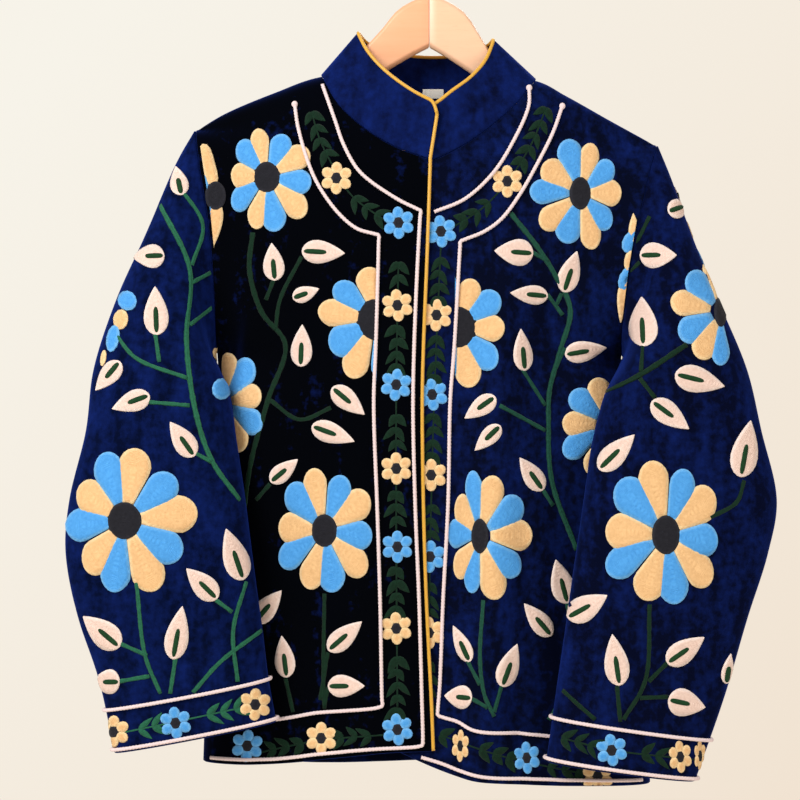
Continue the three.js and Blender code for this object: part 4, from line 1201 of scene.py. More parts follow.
# %% Flowers and leaves on the fronts and sleeves
OUTER_CORD = {"right": -49, "left": 23}
PHOTO_DAISIES = {
    "front_right": [
        Daisy(-150, -238, 35, 44, 45, 52, 13, 14, 67, 10, "photo", None),
        Daisy(-50, -369, 51, 44, 50, 58, 18, 19, 64, 10, "photo", (-200, OUTER_CORD["right"])),
        Daisy(-97, -563, 45, 47, 58, 59, 12, 15, 67, 10, "photo", None),
        Daisy(-190, -446, 10, 38, 50, 50, 6, 10, 46, 10, "photo", None),
    ],
    "front_left": [
        Daisy(138, -253, 45, 38, 49, 51, 10, 15, 35, 10, "photo", None),
        Daisy(25, -376, 46, 46, 50, 56, 19, 19, 34, 10, "photo", (OUTER_CORD["left"], 200)),
        Daisy(46, -568, 29, 48, 59, 58, 8, 16, 35, 10, "photo", None),
        Daisy(164, -466, 45, 37, 44, 52, 11, 15, 67, 10, "photo", None),
    ],
    "sleeve_right": [
        Daisy(-281, -554, 51, 65, 66, 68, 16, 17, 42, 10, "photo", None),
    ],
    "sleeve_left": [
        Daisy(217, -567, 59, 51, 69, 66, 13, 18, 67, 10, "photo", None),
        Daisy(267, -361, 44, 9, 52, 51, 6, 15, 63, 10, "photo", None),
    ],
}
# Daisies that go round a fold beside a sleeve, of which only single petals show
Single = namedtuple("Single", "shape start tip half_wide thread")
PHOTO_SINGLES = {
    "front_right": [
        Single("small_petal", (-206, -252), (-208.5, -236), 3.4, "blue"),
        Single("small_petal", (-202, -264), (-203.6, -276), 3.0, "blue"),
        Single("vein", (-199, -246), (-209.2, -207.5), 6.6, "peach"),
        Single("leaf", (-197.3, -259), (-200.4, -304), 8.2, "peach"),
    ],
    "front_left": [
        Single("leaf", (188, -298), (187, -271), 5.2, "peach"),
        Single("small_petal", (193, -287), (179, -307), 8.5, "blue"),
        Single("small_petal", (185, -305), (182, -325), 5, "peach"),
        Single("small_petal", (187, -320), (176.5, -343), 8, "blue"),
        Single("leaf", (180, -332), (175, -372), 6, "peach"),
    ],
    "sleeve_right": [
        Single("small_petal", (-286, -355.5), (-270.5, -348), 9.5, "blue"),
        Single("small_petal", (-291, -368), (-277.5, -370), 9.5, "peach"),
        Single("small_petal", (-289, -374), (-294, -399), 6, "blue"),
        Single("small_petal", (-299, -397), (-301.5, -412), 2.6, "peach"),
        Single("small_petal", (-184, -411.7), (-198.7, -395.2), 6.5, "peach"),
        Single("small_petal", (-183.1, -433.8), (-200.6, -432), 10, "blue"),
    ],
    "sleeve_left": [Single("petal", (267, -363), (267, -411.5), 34, "blue")],
}
STRIP_DISC = (-197.3, -255.2, 9.7, 13.2)
# Heights, and how far out the armhole is there
STRIP_EDGES = {
    "front_right": ([-305, -266, -223, -190], [-198.5, -202.5, -209.5, -214]),
    "front_left": ([-380, -325, -279, -258, -227, -208], [175.3, 182.2, 190, 195, 202, 209]),
}
PHOTO_LEAVES = {
    "front_right": [
        (-144, -316, 95, 35, 20), (-98, -307, -3, 40, 22), (-114, -345, 20, 26, 15),
        (-118, -393, 88, 39, 20), (-75, -444, -40, 39, 20), (-89, -474, -20, 42, 20),
        (-134, -508, 40, 33, 17), (-78, -660, 41, 41, 20), (-134, -679, 97, 39, 19),
        (-77, -706, 0, 34, 21), (-149, -633, 50, 39, 20),
    ],
    "front_left": [
        (77, -307, 176, 36, 25), (129, -325, 72, 40, 20), (91, -346, 175, 35, 18),
        (85, -397, 95, 39, 18), (143, -398, 10, 39, 20), (46, -450, 215, 35, 18),
        (53, -478, 225, 33, 16), (93, -511, 125, 37, 19), (121, -610, 105, 42, 22),
        (99, -645, 130, 39, 19), (73, -687, 70, 42, 20), (29, -667, 115, 37, 15),
        (26, -716, 175, 26, 22),
    ],
    "sleeve_right": [
        (-231, -241.5, 100, 27, 17), (-259, -311, 182, 30, 22), (-252, -361, 92, 45, 23),
        (-296, -421, 230, 35, 18), (-275, -445, 200, 37, 20), (-228, -479, 125, 39, 21),
        (-180, -585, 108, 50, 24), (-210, -612, 135, 40, 22), (-232, -657, 80, 50, 22),
        (-302, -656, 140, 44, 25), (-298, -702, 180, 26, 23),
    ],
    "sleeve_left": [
        (230, -266, 20, 24, 18), (210, -310, 0, 34, 24), (196, -371, 92, 46, 27),
        (248, -425, -14, 47, 25), (221, -457, -37, 43, 22), (172, -491, 45, 46, 22),
        (290, -488, 80, 53, 25), (145, -633, 30, 42, 24), (171, -682, 98, 48, 23),
        (235, -673, 35, 42, 22), (236, -722, -12, 35, 26), (274, -690, 80, 28, 11),
    ],
}
PHOTO_SMALL = {
    "front_right": [
        (-29, -280, "blue"), (-30, -356, "peach"), (-31, -429, "blue"), (-31, -506, "peach"),
        (-30, -578, "blue"), (-31, -653, "peach"), (-30, -746, "blue"), (-86, -239, "peach"),
        (-100, -754, "peach"), (-168, -761, "blue"),
    ],
    "front_left": [
        (10, -288, "blue"), (6, -365, "peach"), (2, -438, "blue"), (1, -512, "peach"),
        (0, -587, "blue"), (-1, -657, "peach"), (71, -242, "peach"), (28, -761, "peach", 0.56),
        (89, -772, "blue", 0.85), (154, -789, "peach"),
    ],
    "sleeve_right": [(-234, -740, "blue"), (-161, -723, "peach"), (-291, -748, "peach")],
    "sleeve_left": [(167, -765, "blue"), (230, -771, "peach", 0.74), (248, -770, "peach", 0.36)],
}
PHOTO_STEMS = {
    "front_right": [
        [
            (-163, -289), (-166, -323), (-155, -362), (-133, -392), (-149, -443), (-166, -507),
            (-175, -590),
        ],
        [(-144, -333), (-151, -351)], [(-118, -311), (-138, -351), (-142, -379)],
        [(-91, -450), (-120, -461), (-147, -443)], [(-147, -520), (-160, -535)],
        [(-97, -621), (-98, -701), (-97, -727)], [(-94, -675), (-101, -719)],
        [(-133, -699), (-126, -730)], [(-94, -707), (-97, -725)], [(-160, -647), (-166, -710)],
    ],
    "front_left": [
        [
            (74, -271), (97, -300), (115, -328), (129, -360), (120, -397), (110, -434), (109, -461),
            (112, -517), (135, -581),
        ],
        [(94, -307), (109, -316)], [(121, -345), (116, -356)], [(108, -346), (122, -365)],
        [(85, -415), (106, -448)],
        [(124, -395), (114, -417)], [(64, -448), (106, -471)], [(104, -526), (113, -540)],
        [(49, -627), (46, -682), (50, -714), (59, -734)], [(34, -682), (46, -705)], [(66, -705), (59, -730)],
        [(39, -718), (53, -726)], [(126, -630), (133, -664), (120, -719), (109, -737)],
    ],
    "sleeve_right": [
        [(-248, -264), (-221, -323), (-224, -388), (-216, -452), (-201, -498), (-175, -535)],
        [(-232, -245), (-209, -282), (-219, -319)], [(-219, -335), (-202, -326)],
        [(-221, -374), (-198, -356)], [(-290, -381), (-271, -404), (-223, -423)],
        [(-253, -380), (-249, -408)], [(-221, -489), (-201, -500)],
        [(-270, -611), (-262, -678), (-248, -713)], [(-169, -610), (-181, -655), (-177, -702)],
        [(-155, -655), (-193, -684), (-218, -712)], [(-197, -627), (-182, -638)],
        [(-285, -667), (-260, -678)], [(-234, -680), (-239, -713)],
        [(-287, -702), (-258, -697)], [(-258, -445), (-221, -448)],
    ],
    "sleeve_left": [
        [(156, -438), (193, -420), (236, -392)], [(196, -390), (194, -417)],
        [(193, -316), (182, -328), (171, -351)], [(207, -441), (193, -423)],
        [(202, -631), (198, -701), (178, -737)], [(289, -517), (282, -537), (258, -551)],
        [(122, -710), (136, -723), (152, -737)], [(172, -706), (175, -739)], [(219, -684), (201, -702)],
        [(219, -716), (193, -717)], [(202, -274), (191, -296), (177, -316)],
    ],
}
SPRIGS = {
    "front_right": [
        [(-29, -316), (-31, -429), (-31, -578), (-30, -726)],
        [(-109, -178), (-101, -204), (-88, -230), (-72, -255), (-40, -279)],
        [(-42, -751), (-100, -756), (-155, -767), (-178, -774)],
    ],
    "front_left": [
        [(10, -300), (4, -438), (0, -587), (-2, -719)],
        [(107, -174), (94, -206), (75, -237), (50, -265), (23, -283)],
        [(9, -751), (64, -770), (147, -788)],
    ],
    "sleeve_right": [[(-293, -751), (-234, -739), (-155, -722)]],
    "sleeve_left": [[(121, -754), (167, -765), (245, -774)]],
}

# %% [markdown]
# The hidden sides carry the same work, drawn more evenly: two daisies down the middle of the back
# and two down each half, leaves between them on stems, and the hem band carried all round. Each
# sleeve has a daisy above and below the elbow behind, and leaves along its outer fold.

# %% Flowers and leaves on the hidden sides
BACK = 180
BACK_DAISIES = [
    Daisy(0, -252, 52, 52, 50, 52, 14, 14, 36, 10, BACK, None),
    Daisy(-112, -330, 48, 48, 52, 54, 13, 14, 20, 10, BACK, None),
    Daisy(112, -330, 48, 48, 52, 54, 13, 14, 88, 10, BACK, None),
    Daisy(0, -470, 54, 54, 58, 60, 15, 15, 0, 10, BACK, None),
    Daisy(-118, -590, 50, 48, 58, 60, 13, 15, 52, 10, BACK, None),
    Daisy(118, -590, 48, 50, 58, 60, 13, 15, 56, 10, BACK, None),
]
BACK_LEAVES = [
    (58, -400, 40, 38, 20), (-58, -400, 140, 38, 20), (136, -430, 80, 40, 21), (-136, -430, 100, 40, 21),
    (72, -508, -30, 38, 20), (-72, -508, 210, 38, 20), (26, -340, 75, 36, 20), (-26, -340, 105, 36, 20),
    (46, -590, 70, 42, 22), (-46, -590, 110, 42, 22), (60, -660, 30, 42, 22), (-60, -660, 150, 42, 22),
    (24, -690, 100, 40, 21), (-24, -690, 80, 40, 21), (150, -690, 75, 40, 21), (-150, -690, 105, 40, 21),
    (96, -698, 100, 38, 20), (-96, -698, 80, 38, 20), (66, -196, 30, 34, 18), (-66, -196, 150, 34, 18),
    (132, -222, 60, 36, 20), (-132, -222, 120, 36, 20), (158, -500, 95, 38, 20), (-158, -500, 85, 38, 20),
]
BACK_STEMS = [
    [(112, -386), (96, -430), (84, -500), (80, -560), (70, -640), (60, -722)],
    [(-112, -386), (-96, -430), (-84, -500), (-80, -560), (-70, -640), (-60, -722)],
    [(0, -532), (4, -600), (0, -660), (0, -724)], [(0, -306), (-3, -360), (0, -408)],
    [(134, -452), (120, -480), (84, -510)], [(-134, -452), (-120, -480), (-84, -510)],
    [(118, -652), (124, -690), (120, -728)], [(-118, -652), (-124, -690), (-120, -728)],
    [(56, -504), (80, -536)], [(-56, -504), (-80, -536)],
    [(44, -382), (92, -440)], [(-44, -382), (-92, -440)],
    [(148, -710), (124, -722)], [(-148, -710), (-124, -722)],
    [(40, -612), (6, -640)], [(-40, -612), (-6, -640)],
    [(56, -210), (24, -222)], [(-56, -210), (-24, -222)],
    [(126, -240), (116, -276)], [(-126, -240), (-116, -276)],
]
BACK_HEM_SPRIG = [(-180, -758), (-110, -764), (0, -761), (110, -763), (180, -755)]
BACK_SMALL = [
    (-160, -759, "blue"), (-107, -764, "peach"), (-54, -763, "blue"), (0, -761, "peach"),
    (54, -762, "blue"), (107, -763, "peach"), (160, -757, "blue"),
]
# Behind a sleeve, across runs from the body outwards for both sides
SLEEVE_BACK_DAISIES = [(218, -322, 38, 46, 52, 54, 11, 14, 20), (232, -540, 52, 56, 66, 66, 14, 17, 56)]
SLEEVE_BACK_LEAVES = [
    (262, -420, 60, 42, 22), (218, -436, 112, 38, 20), (250, -446, 20, 34, 18), (186, -600, 100, 44, 22),
    (262, -640, 60, 44, 23), (188, -650, 110, 42, 22), (228, -650, 85, 44, 22), (232, -250, 80, 34, 20),
]
SLEEVE_BACK_STEMS = [
    [(218, -378), (226, -430), (222, -474)], [(258, -440), (226, -458)], [(208, -450), (224, -466)],
    [(230, -608), (224, -660), (212, -700)], [(258, -660), (222, -684)], [(190, -672), (212, -694)],
]
SLEEVE_SIDE_LEAVES = [(10, -330, 88, 38, 18), (28, -452, 92, 42, 20), (46, -600, 86, 44, 20)]
SLEEVE_SIDE_STEMS = [[(12, -352), (20, -390), (28, -428)], [(30, -476), (38, -530), (44, -574)]]

# %% Sewing it all on
# The stems' thread is painted light and shade with the velvet: the brightest green on the lit sleeve, and
# darker greens as painted shade, nearly hidden on the right front
STEM_THREADS = {
    "front_right": "sprig", "front_left": "shaded", "sleeve_right": "stem", "sleeve_left": "sprig",
}
works = {name: Embroidery(name) for name in cloth if name != "collar"}
for name, daisies in PHOTO_DAISIES.items():
    work = works[name]
    smalls = [small_flower(*row) for row in PHOTO_SMALL[name]]
    for number, route in enumerate(PHOTO_STEMS[name]):
        sew_stem(work, route, STEM_THREADS[name], "photo", MAIN_STEM_WIDE if number == 0 else STEM_WIDE)
    for route in SPRIGS[name]:
        # The sleeves' sprigs take the stems' thread, painted darker as shade on the left sleeve
        if name.startswith("sleeve"):
            sew_sprigs(work, route, smalls, "photo", STEM_THREADS[name], 16.5, 6.6)
        else:
            sew_sprigs(work, route, smalls, "photo")
    for daisy in daisies:
        sew_daisy(work, daisy)
    for row in PHOTO_LEAVES[name]:
        sew_leaf(work, Leaf(*row, "photo"))
    for small in smalls:
        sew_small_flower(work, small)

for name, singles in PHOTO_SINGLES.items():
    for single in singles:
        reach = (single.tip[0] - single.start[0], single.tip[1] - single.start[1])
        scale = (single.half_wide, math.hypot(*reach))
        shape = SHAPES[single.shape]
        flat = turned_place(shape.points, single.start, math.degrees(math.atan2(reach[1], reach[0])), scale)
        if name in STRIP_EDGES:
            inside = np.minimum if name == "front_left" else np.maximum
            flat[:, 0] = inside(flat[:, 0], np.interp(flat[:, 1], *STRIP_EDGES[name]))
        works[name].lay(shape, flat, single.thread, "photo", MOTIF_HEIGHT, scale)
x, z, wide, high = STRIP_DISC
flat = (SHAPES["disc"].points[:, :2] - [0, 0.5]) * [wide, 2 * high] + [x, z]
works["front_right"].lay(SHAPES["disc"], flat, "charcoal", "photo", DISC_HEIGHT, (wide, 2 * high))

work = works["back"]
smalls = [small_flower(x, z, thread, facing=BACK) for x, z, thread in BACK_SMALL]
for route in BACK_STEMS:
    sew_stem(work, route, "stem", BACK, STEM_WIDE)
sew_sprigs(work, BACK_HEM_SPRIG, smalls, BACK)
for daisy in BACK_DAISIES:
    sew_daisy(work, daisy)
for row in BACK_LEAVES:
    sew_leaf(work, Leaf(*row, BACK))
for small in smalls:
    sew_small_flower(work, small)

for side in ("right", "left"):
    work = works[f"sleeve_{side}"]
    away = -SIGN[side]      # seen from behind, the wearer's right is on the right
    for x, z, inner, outer, above, below, wide, high, turn in SLEEVE_BACK_DAISIES:
        reach = (outer, inner) if away < 0 else (inner, outer)
        sew_daisy(work, Daisy(away * x, z, *reach, above, below, wide, high, turn, 10, BACK, None))
    for x, z, angle, length, wide in SLEEVE_BACK_LEAVES:
        lean = angle if away > 0 else 180 - angle
        sew_leaf(work, Leaf(away * x, z, lean, length, wide, BACK))
    for route in SLEEVE_BACK_STEMS:
        sew_stem(work, [(away * x, z) for x, z in route], "stem", BACK, STEM_WIDE)
    beside = 90 * SIGN[side]
    for x, z, angle, length, wide in SLEEVE_SIDE_LEAVES:
        sew_leaf(work, Leaf(-SIGN[side] * x, z, angle, length, wide, beside))
    for route in SLEEVE_SIDE_STEMS:
        sew_stem(work, [(-SIGN[side] * x, z) for x, z in route], "stem", beside, STEM_WIDE)

embroidery = {name: work.piece() for name, work in works.items()}
for name, piece in embroidery.items():
    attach(piece, "root")
    print(f"{piece.name}: {len(piece.data.polygons)} faces")

# %% [markdown]
# ## Couched cords
#
# A thick two ply cotton cord is laid on the cloth and caught down with thread. Two cords border
# every band. The two plies turn round each other about once every six millimetres, which is what
# makes the cord's edge look beaded. The section below has two lobes and turns along the cord.

# %% Cord maker
CORD_RADIUS = 1.8
CORD_STEP = 0.8
CORD_PITCH = 6.4
CORD_SIDES = 10
CORD_CLEAR = 0.15      # gap between a cord and the cloth, mm
SMOOTHINGS = 3


def twisted_cord(name, spine, out, closed):
    """A two ply cord along a spine in mm, where out is away from the cloth."""
    count = len(spine)
    if closed:
        along = np.roll(spine, -1, 0) - np.roll(spine, 1, 0)
    else:
        along = np.gradient(spine, axis=0)
    along /= np.linalg.norm(along, axis=1, keepdims=True)
    side = np.cross(along, out)
    side /= np.linalg.norm(side, axis=1, keepdims=True)
    rise = np.cross(side, along)
    gaps = np.linalg.norm(np.diff(spine, axis=0), axis=1)
    far = np.concatenate([[0], np.cumsum(gaps)])
    whole = far[-1] + (np.linalg.norm(spine[0] - spine[-1]) if closed else 0)
    turns = max(1, round(whole / CORD_PITCH))
    phase = 2 * np.pi * turns * far / whole
    angle = 2 * np.pi * np.arange(CORD_SIDES) / CORD_SIDES
    lobe = 0.78 + 0.22 * np.abs(np.cos(angle[None] - phase[:, None]))
    radius = CORD_RADIUS * lobe
    rings = spine[:, None] + side[:, None] * (radius * np.cos(angle))[..., None]
    rings = rings + rise[:, None] * (radius * np.sin(angle))[..., None]
    points = rings.reshape(-1, 3)
    index = np.arange(count * CORD_SIDES).reshape(count, CORD_SIDES)
    after = np.roll(index, -1, 0) if closed else index[1:]
    here = index if closed else index[:-1]
    faces = np.stack([here, np.roll(here, -1, 1), np.roll(after, -1, 1), after], -1).reshape(-1, 4).tolist()
    if not closed:
        faces.append(index[0].tolist())
        faces.append(index[-1].tolist())
    return build_mesh(name, points, faces, [pink_cord])


def declare(piece, nodes):
    """The piece rides with the jacket and stands for its solids."""
    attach(piece, "root")
    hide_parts(*nodes)
    return piece


# %% Cords on the fronts
CORD_ROUTES = {
    "inner_right": [
        (100, -149), (88, -183), (80, -206), (67.5, -229), (55.5, -241), (28, -259.5),
        (12, -267.5), (8.6, -269.5), (9, -274), (13, -351), (15.6, -443), (13.8, -535),
        (10.1, -627), (7.5, -719), (6.6, -756), (7, -760), (11, -761.5), (60, -764.5),
        (102, -769.5), (153, -775.5), (203, -776.5),
    ],
    "outer_right": [
        (125.6, -167.5), (122, -190), (112, -224), (102, -246), (84, -271), (67, -285.5),
        (51, -290.5), (47, -292), (47, -297), (49.7, -397), (51.5, -443), (48.8, -535),
        (46, -627), (44.2, -719), (43.8, -723.5), (48, -725.5), (63, -727.5), (106, -732),
        (145, -738.5), (203, -741),
    ],
    "inner_left": [(93, -152), (92, -170), (76, -206), (58, -234), (32, -258), (4, -270)],
    "outer_left": [
        (123.6, -169), (114, -195), (99.5, -224), (83, -253), (66, -276), (50, -288),
        (32, -295.5), (28, -297.5), (27.6, -302), (22, -397), (18.5, -443), (16.6, -535),
        (12, -627), (9, -705), (7.2, -729), (7.4, -733), (12, -735), (26, -739), (41, -746),
        (83, -750), (145, -757), (197, -762),
    ],
    "hem_left": [(-8, -772), (10, -777.5), (30, -785), (52, -790), (113, -793), (197, -797)],
}
KNOTTED = ("outer_right", "outer_left", "inner_left")
KNOT_SIZE = (2.9, 2.4, 3.1)


def level_spine(panel, facing, at, length):
    """A cord's spine and its out directions, over the cloth below an even route."""
    flat = at(np.linspace(0, 1, round(length / CORD_STEP)))
    points, normals, hit = drop_onto(panel, facing, flat)
    points, normals = points[hit], normals[hit]
    for _ in range(SMOOTHINGS):
        normals[1:-1] = (normals[:-2] + normals[1:-1] + normals[2:]) / 3
    normals /= np.linalg.norm(normals, axis=1, keepdims=True)
    return points + normals * (CORD_RADIUS + CORD_CLEAR), normals


for name, route in CORD_ROUTES.items():
    side = name.split("_")[1]
    at, length = even([(SIGN[side] * out, up) for out, up in route])
    spine, out = level_spine(f"front_{side}", "level", at, length)
    piece = twisted_cord(f"pink_cord_{name}", spine, out, False)
    if name in KNOTTED:
        bpy.ops.object.select_all(action="DESELECT")
        bpy.ops.mesh.primitive_uv_sphere_add(segments=16, ring_count=10, radius=1, location=spine[0] * MM)
        knot = bpy.context.object
        knot.scale = [x * MM for x in KNOT_SIZE]
        bpy.ops.object.transform_apply(location=False, rotation=False, scale=True)
        bpy.ops.object.shade_smooth()
        knot.data.materials.append(pink_cord)
        piece.select_set(True)
        bpy.context.view_layer.objects.active = piece
        bpy.ops.object.join()
    declare(piece, [f"cord_{name}"])

# %% Cords round the back hem and the cuffs
HEM_BAND = (8, 46)
CUFF_BAND = (3, 40)      # heights of the two cords above the sleeve's edge
LAST_RING = 0.1          # share of the sleeve's length between its last two rings
HEM_CORD_SHORT = 9       # the back's cords stop short of the side seams


def cuff_share(side, above, turn):
    """The share of the sleeve's length that lies this far above its edge."""
    edge = sleeve_point(side, 1.0, turn)
    reach = np.linalg.norm(edge - sleeve_point(side, 1 - LAST_RING, turn), axis=-1)
    return 1 - above / reach * LAST_RING


for number, above in enumerate(HEM_BAND, 1):
    route = []
    for span in np.linspace(-1, 1, 41):
        side = "right" if span < 0 else "left"
        out = abs(span) * (SIDE_EDGE[side][-1][OUT] - HEM_CORD_SHORT)
        route.append((-SIGN[side] * out, float(read(hem["back"][side], OUT, UP, out)) + above))
    at, length = even(route)
    spine, out = level_spine("back", BACK, at, length)
    piece = twisted_cord(f"pink_cord_back_hem_{number}", spine, out, False)
    declare(piece, [f"cord_back_hem_{number}"])

for side in ("right", "left"):
    for number, above in enumerate(CUFF_BAND, 1):
        rough = np.linspace(0, 2 * np.pi, 721)
        loop = sleeve_point(side, cuff_share(side, above, rough), rough)
        far = np.concatenate([[0], np.cumsum(np.linalg.norm(np.diff(loop, axis=0), axis=1))])
        steps = round(far[-1] / CORD_STEP)
        turn = np.interp(np.arange(steps) / steps * far[-1], far, rough)
        w = cuff_share(side, above, turn)
        grid = np.stack([sleeve_point(side, w + shift, turn) for shift in (-0.01, 0, 0.01)], 1)
        away = grid - grid.mean(0, keepdims=True)
        out = grid_normals(grid, True, away)[:, 1]
        spine = grid[:, 1] + out * (WALL / 2 + CORD_RADIUS + CORD_CLEAR)
        piece = twisted_cord(f"pink_cord_cuff_{side}_{number}", spine, out, True)
        declare(piece, [f"cord_cuff_{side}_{number}"])

# %% [markdown]
# ## Gold piping
#
# A strip of gold satin is folded round a thin cord and caught in the seam, so that it stands
# just past the edge of the velvet. One length goes round the top of the collar, and one down
# each front from the collar's corner to the hem.

# %% Piping
PIPING_RADIUS = 1.65
PIPING_GAP = 0.4
PIPING_SIDES = 12


def piping_spine(edges, insides):
    """A line just past the edge, away from the points inside it."""
    along = np.gradient(edges, axis=0)
    along /= np.linalg.norm(along, axis=1, keepdims=True)
    away = edges - insides
    away -= along * np.sum(away * along, axis=1, keepdims=True)
    away /= np.linalg.norm(away, axis=1, keepdims=True)
    return edges + away * (PIPING_RADIUS + PIPING_GAP), away


def piping(name, edges, insides, corner=None):
    """A smooth round strand of piping, which starts at a corner where one is given."""
    spine, away = piping_spine(edges, insides)
    if corner is not None:
        spine, away = np.vstack([corner, spine]), np.vstack([away[:1], away])
    along = np.gradient(spine, axis=0)
    along /= np.linalg.norm(along, axis=1, keepdims=True)
    side = np.cross(along, away)
    angle = 2 * np.pi * np.arange(PIPING_SIDES) / PIPING_SIDES
    rings = spine[:, None] + PIPING_RADIUS * (
        away[:, None] * np.cos(angle)[:, None] + side[:, None] * np.sin(angle)[:, None]
    )
    index = np.arange(len(spine) * PIPING_SIDES).reshape(len(spine), PIPING_SIDES)
    here, after = index[:-1], index[1:]
    faces = np.stack([here, np.roll(here, -1, 1), np.roll(after, -1, 1), after], -1).reshape(-1, 4).tolist()
    faces += [index[0].tolist(), index[-1].tolist()]
    return declare(build_mesh(f"gold_{name}", rings.reshape(-1, 3), faces, [gold_satin]), [name])


t = np.concatenate([[0.0, 0.004, 0.009, 0.014], np.linspace(0.02, 0.98, 150), [0.986, 0.991, 0.996, 1.0]])
top_edge, below_top = collar_point(t, 1.0), collar_point(0.03 + 0.94 * t, 0.5)
top_spine = piping_spine(top_edge, below_top)[0]
pipings = {"collar": piping("piping_collar", top_edge, below_top)}
for side, end, inward, corner in (("right", 0.0, 0.03, top_spine[0]), ("left", 1.0, 0.97, top_spine[-1])):
    up_collar = np.linspace(0.93, 0, 12)
    down_front = np.linspace(0, 1, 170)[1:]
    edges = np.vstack([collar_point(end, up_collar), panel_point("front", side, 0.0, down_front)])
    insides = np.vstack([collar_point(inward, up_collar), panel_point("front", side, 0.05, down_front)])
    pipings[side] = piping(f"piping_front_{side}", edges, insides, corner)

# %% [markdown]
# ## Neck label
#
# A short piece of plain woven tape, folded and sewn inside the collar at the back of the neck.
# It is blank here. It is a box with soft corners that leans with the collar.

# %% Label
LABEL_SIZE = (20, 0.8, 9)
low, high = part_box("neck_label")
bpy.ops.object.select_all(action="DESELECT")
lean = collar_point(0.5, 1.0) - collar_point(0.5, 0.0)
bpy.ops.mesh.primitive_cube_add(
    size=1, location=[(a + b) / 2 for a, b in zip(low, high)],
    rotation=(-math.atan2(lean[1], lean[2]), 0, 0), scale=[x * MM for x in LABEL_SIZE],
)
label = bpy.context.object
label.name = "label_tape"
bpy.ops.object.transform_apply(location=True, rotation=True, scale=True)
bevel = label.modifiers.new("soft edges", "BEVEL")
bevel.width = 0.3 * MM
bevel.segments = 2
bpy.ops.object.modifier_apply(modifier=bevel.name)
bpy.ops.object.shade_smooth_by_angle()
label.data.materials.append(label_tape)
declare(label, ["neck_label"])

# %% [markdown]
# ## Hanger
#
# Two beech arms are glued at the middle, sanded round and lacquered, and a zinc plated wire
# hook is pushed into them. Their shapes come from the solids. Copies of those are welded; the
# arms' edges are rounded with a bevel, and the wire is given a finer surface.

# %% Hanger arms and hook
def softened_copy(node_name, name, material, round_edge, smoother):
    """A welded copy of a solid with rounded edges."""
    source = bpy.data.objects[node_name]
    bpy.ops.object.select_all(action="DESELECT")
    copy = bpy.data.objects.new(name, source.data.copy())
    bpy.context.collection.objects.link(copy)
    copy.matrix_world = source.matrix_world
    copy.select_set(True)
    bpy.context.view_layer.objects.active = copy
    bpy.ops.object.transform_apply(location=True, rotation=True, scale=True)
    bpy.ops.object.mode_set(mode="EDIT")
    bpy.ops.mesh.select_all(action="SELECT")
    bpy.ops.mesh.remove_doubles(threshold=0.00002)
    bpy.ops.mesh.tris_convert_to_quads(face_threshold=math.radians(50), shape_threshold=math.radians(60))
    bpy.ops.mesh.normals_make_consistent(inside=False)
    bpy.ops.object.mode_set(mode="OBJECT")
    if round_edge:
        bevel = copy.modifiers.new("rounded edges", "BEVEL")
        bevel.width = round_edge * MM
        bevel.segments = 3
        bevel.limit_method = "ANGLE"
        bevel.angle_limit = math.radians(30)
        bpy.ops.object.modifier_apply(modifier=bevel.name)
    if smoother:
        finer = copy.modifiers.new("finer surface", "SUBSURF")
        finer.levels = smoother
        finer.render_levels = smoother
        bpy.ops.object.modifier_apply(modifier=finer.name)
    bpy.ops.object.shade_smooth_by_angle(angle=math.radians(40))
    copy.data.materials.clear()
    copy.data.materials.append(material)
    return copy


arm_right = softened_copy("hanger_arm_right", "beech_arm_right", beech_warm, 1.4, 0)
arm_left = softened_copy("hanger_arm_left", "beech_arm_left", beech_pale, 1.4, 0)
wire_hook = softened_copy("hanger_hook", "wire_hook", zinc_wire, 0, 1)
declare(arm_right, ["hanger_arm_right"])
declare(arm_left, ["hanger_arm_left"])
declare(wire_hook, ["hanger_hook"])

# %% [markdown]
# ## What the cloth is
#
# Every panel is declared: it rides with the jacket and stands for its solid.

# %% Declaring the cloth
for name, piece in cloth.items():
    width, length, area = cut[name]
    declare(piece, [name])

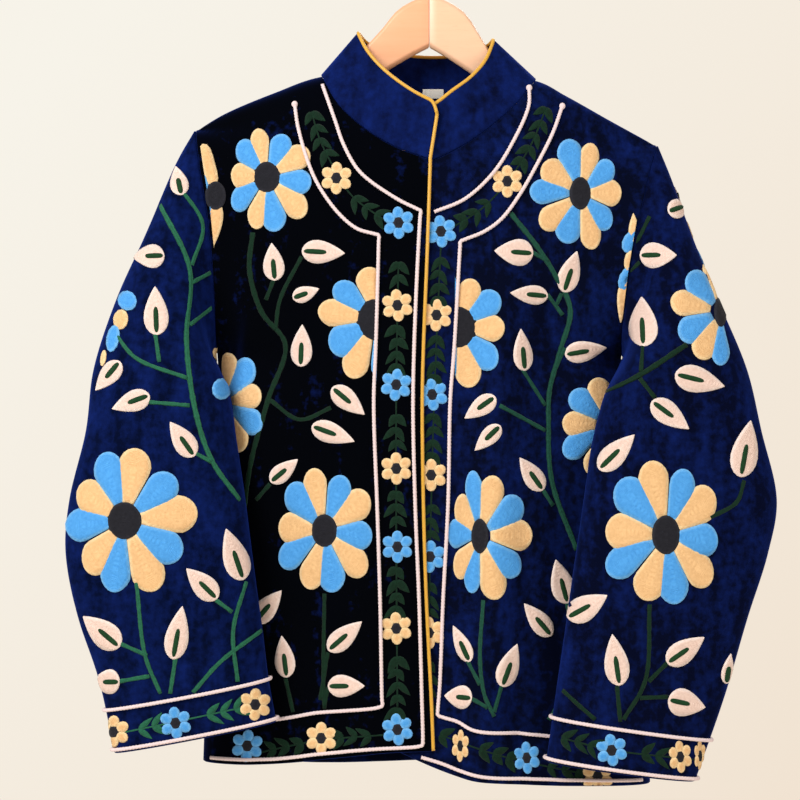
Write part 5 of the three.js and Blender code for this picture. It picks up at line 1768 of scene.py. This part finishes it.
# %% [markdown]
# ## Light and surroundings
#
# The photo's light is soft and comes from the upper left, in front of a plain cream wall. One
# large lamp does that, a weaker one fills the other side, and the surroundings give the rest.
# The floor is well below the jacket, where a pale floor would be.

# %% Light, floor and surroundings
FLOOR_HEIGHT = -1.25
Lamp = namedtuple("Lamp", "name place size power")
LAMPS = [
    Lamp("window_light", (-1.5, -1.7, 0.9), 1.3, 58),
    Lamp("fill_light", (1.7, -1.5, 0.1), 1.6, 15),
    Lamp("back_light", (0.4, 1.6, 0.8), 1.2, 16),
]
LIT_POINT = Vector((0, 0, -0.45))
for lamp in LAMPS:
    bpy.ops.object.light_add(type="AREA", location=lamp.place)
    light = bpy.context.object
    light.name = lamp.name
    light.data.size = lamp.size
    light.data.energy = lamp.power
    light.rotation_euler = (LIT_POINT - Vector(lamp.place)).to_track_quat("-Z", "Y").to_euler()

bpy.ops.object.select_all(action="DESELECT")
bpy.ops.mesh.primitive_plane_add(size=3, location=(0, 0, FLOOR_HEIGHT))
floor = bpy.context.object
floor.name = "floor"
floor.data.materials.append(plain_finish("pale matt floor", "#efe7dc", "#ece3d7", 0.9, 2))

world = bpy.data.worlds.new("cream surroundings")
bpy.context.scene.world = world
world.use_nodes = True
background = world.node_tree.nodes["Background"]
place = add_node(world.node_tree, "ShaderNodeTexCoord").outputs["Generated"]
split = add_node(world.node_tree, "ShaderNodeSeparateXYZ", {"Vector": place})
# Painted shade on the wall: the cream turns darker and warmer towards the lower right
toward_lower_right = calculate(world.node_tree, "SUBTRACT", split.outputs["X"], split.outputs["Z"])
painted_wall_shade = add_node(
    world.node_tree, "ShaderNodeMapRange", {"Value": toward_lower_right, "From Min": -0.3, "From Max": 0.34},
).outputs["Result"]
wall_colour = blend_colours(world.node_tree, painted_wall_shade, linear("#f7f3e9"), linear("#f1e3d2"))
world.node_tree.links.new(wall_colour, background.inputs["Color"])
seen = add_node(world.node_tree, "ShaderNodeLightPath").outputs["Is Camera Ray"]
strength = calculate(world.node_tree, "MULTIPLY", calculate(world.node_tree, "ADD", seen, 1.2), 0.4545)
world.node_tree.links.new(strength, background.inputs["Strength"])
bpy.context.scene.view_settings.view_transform = "Standard"
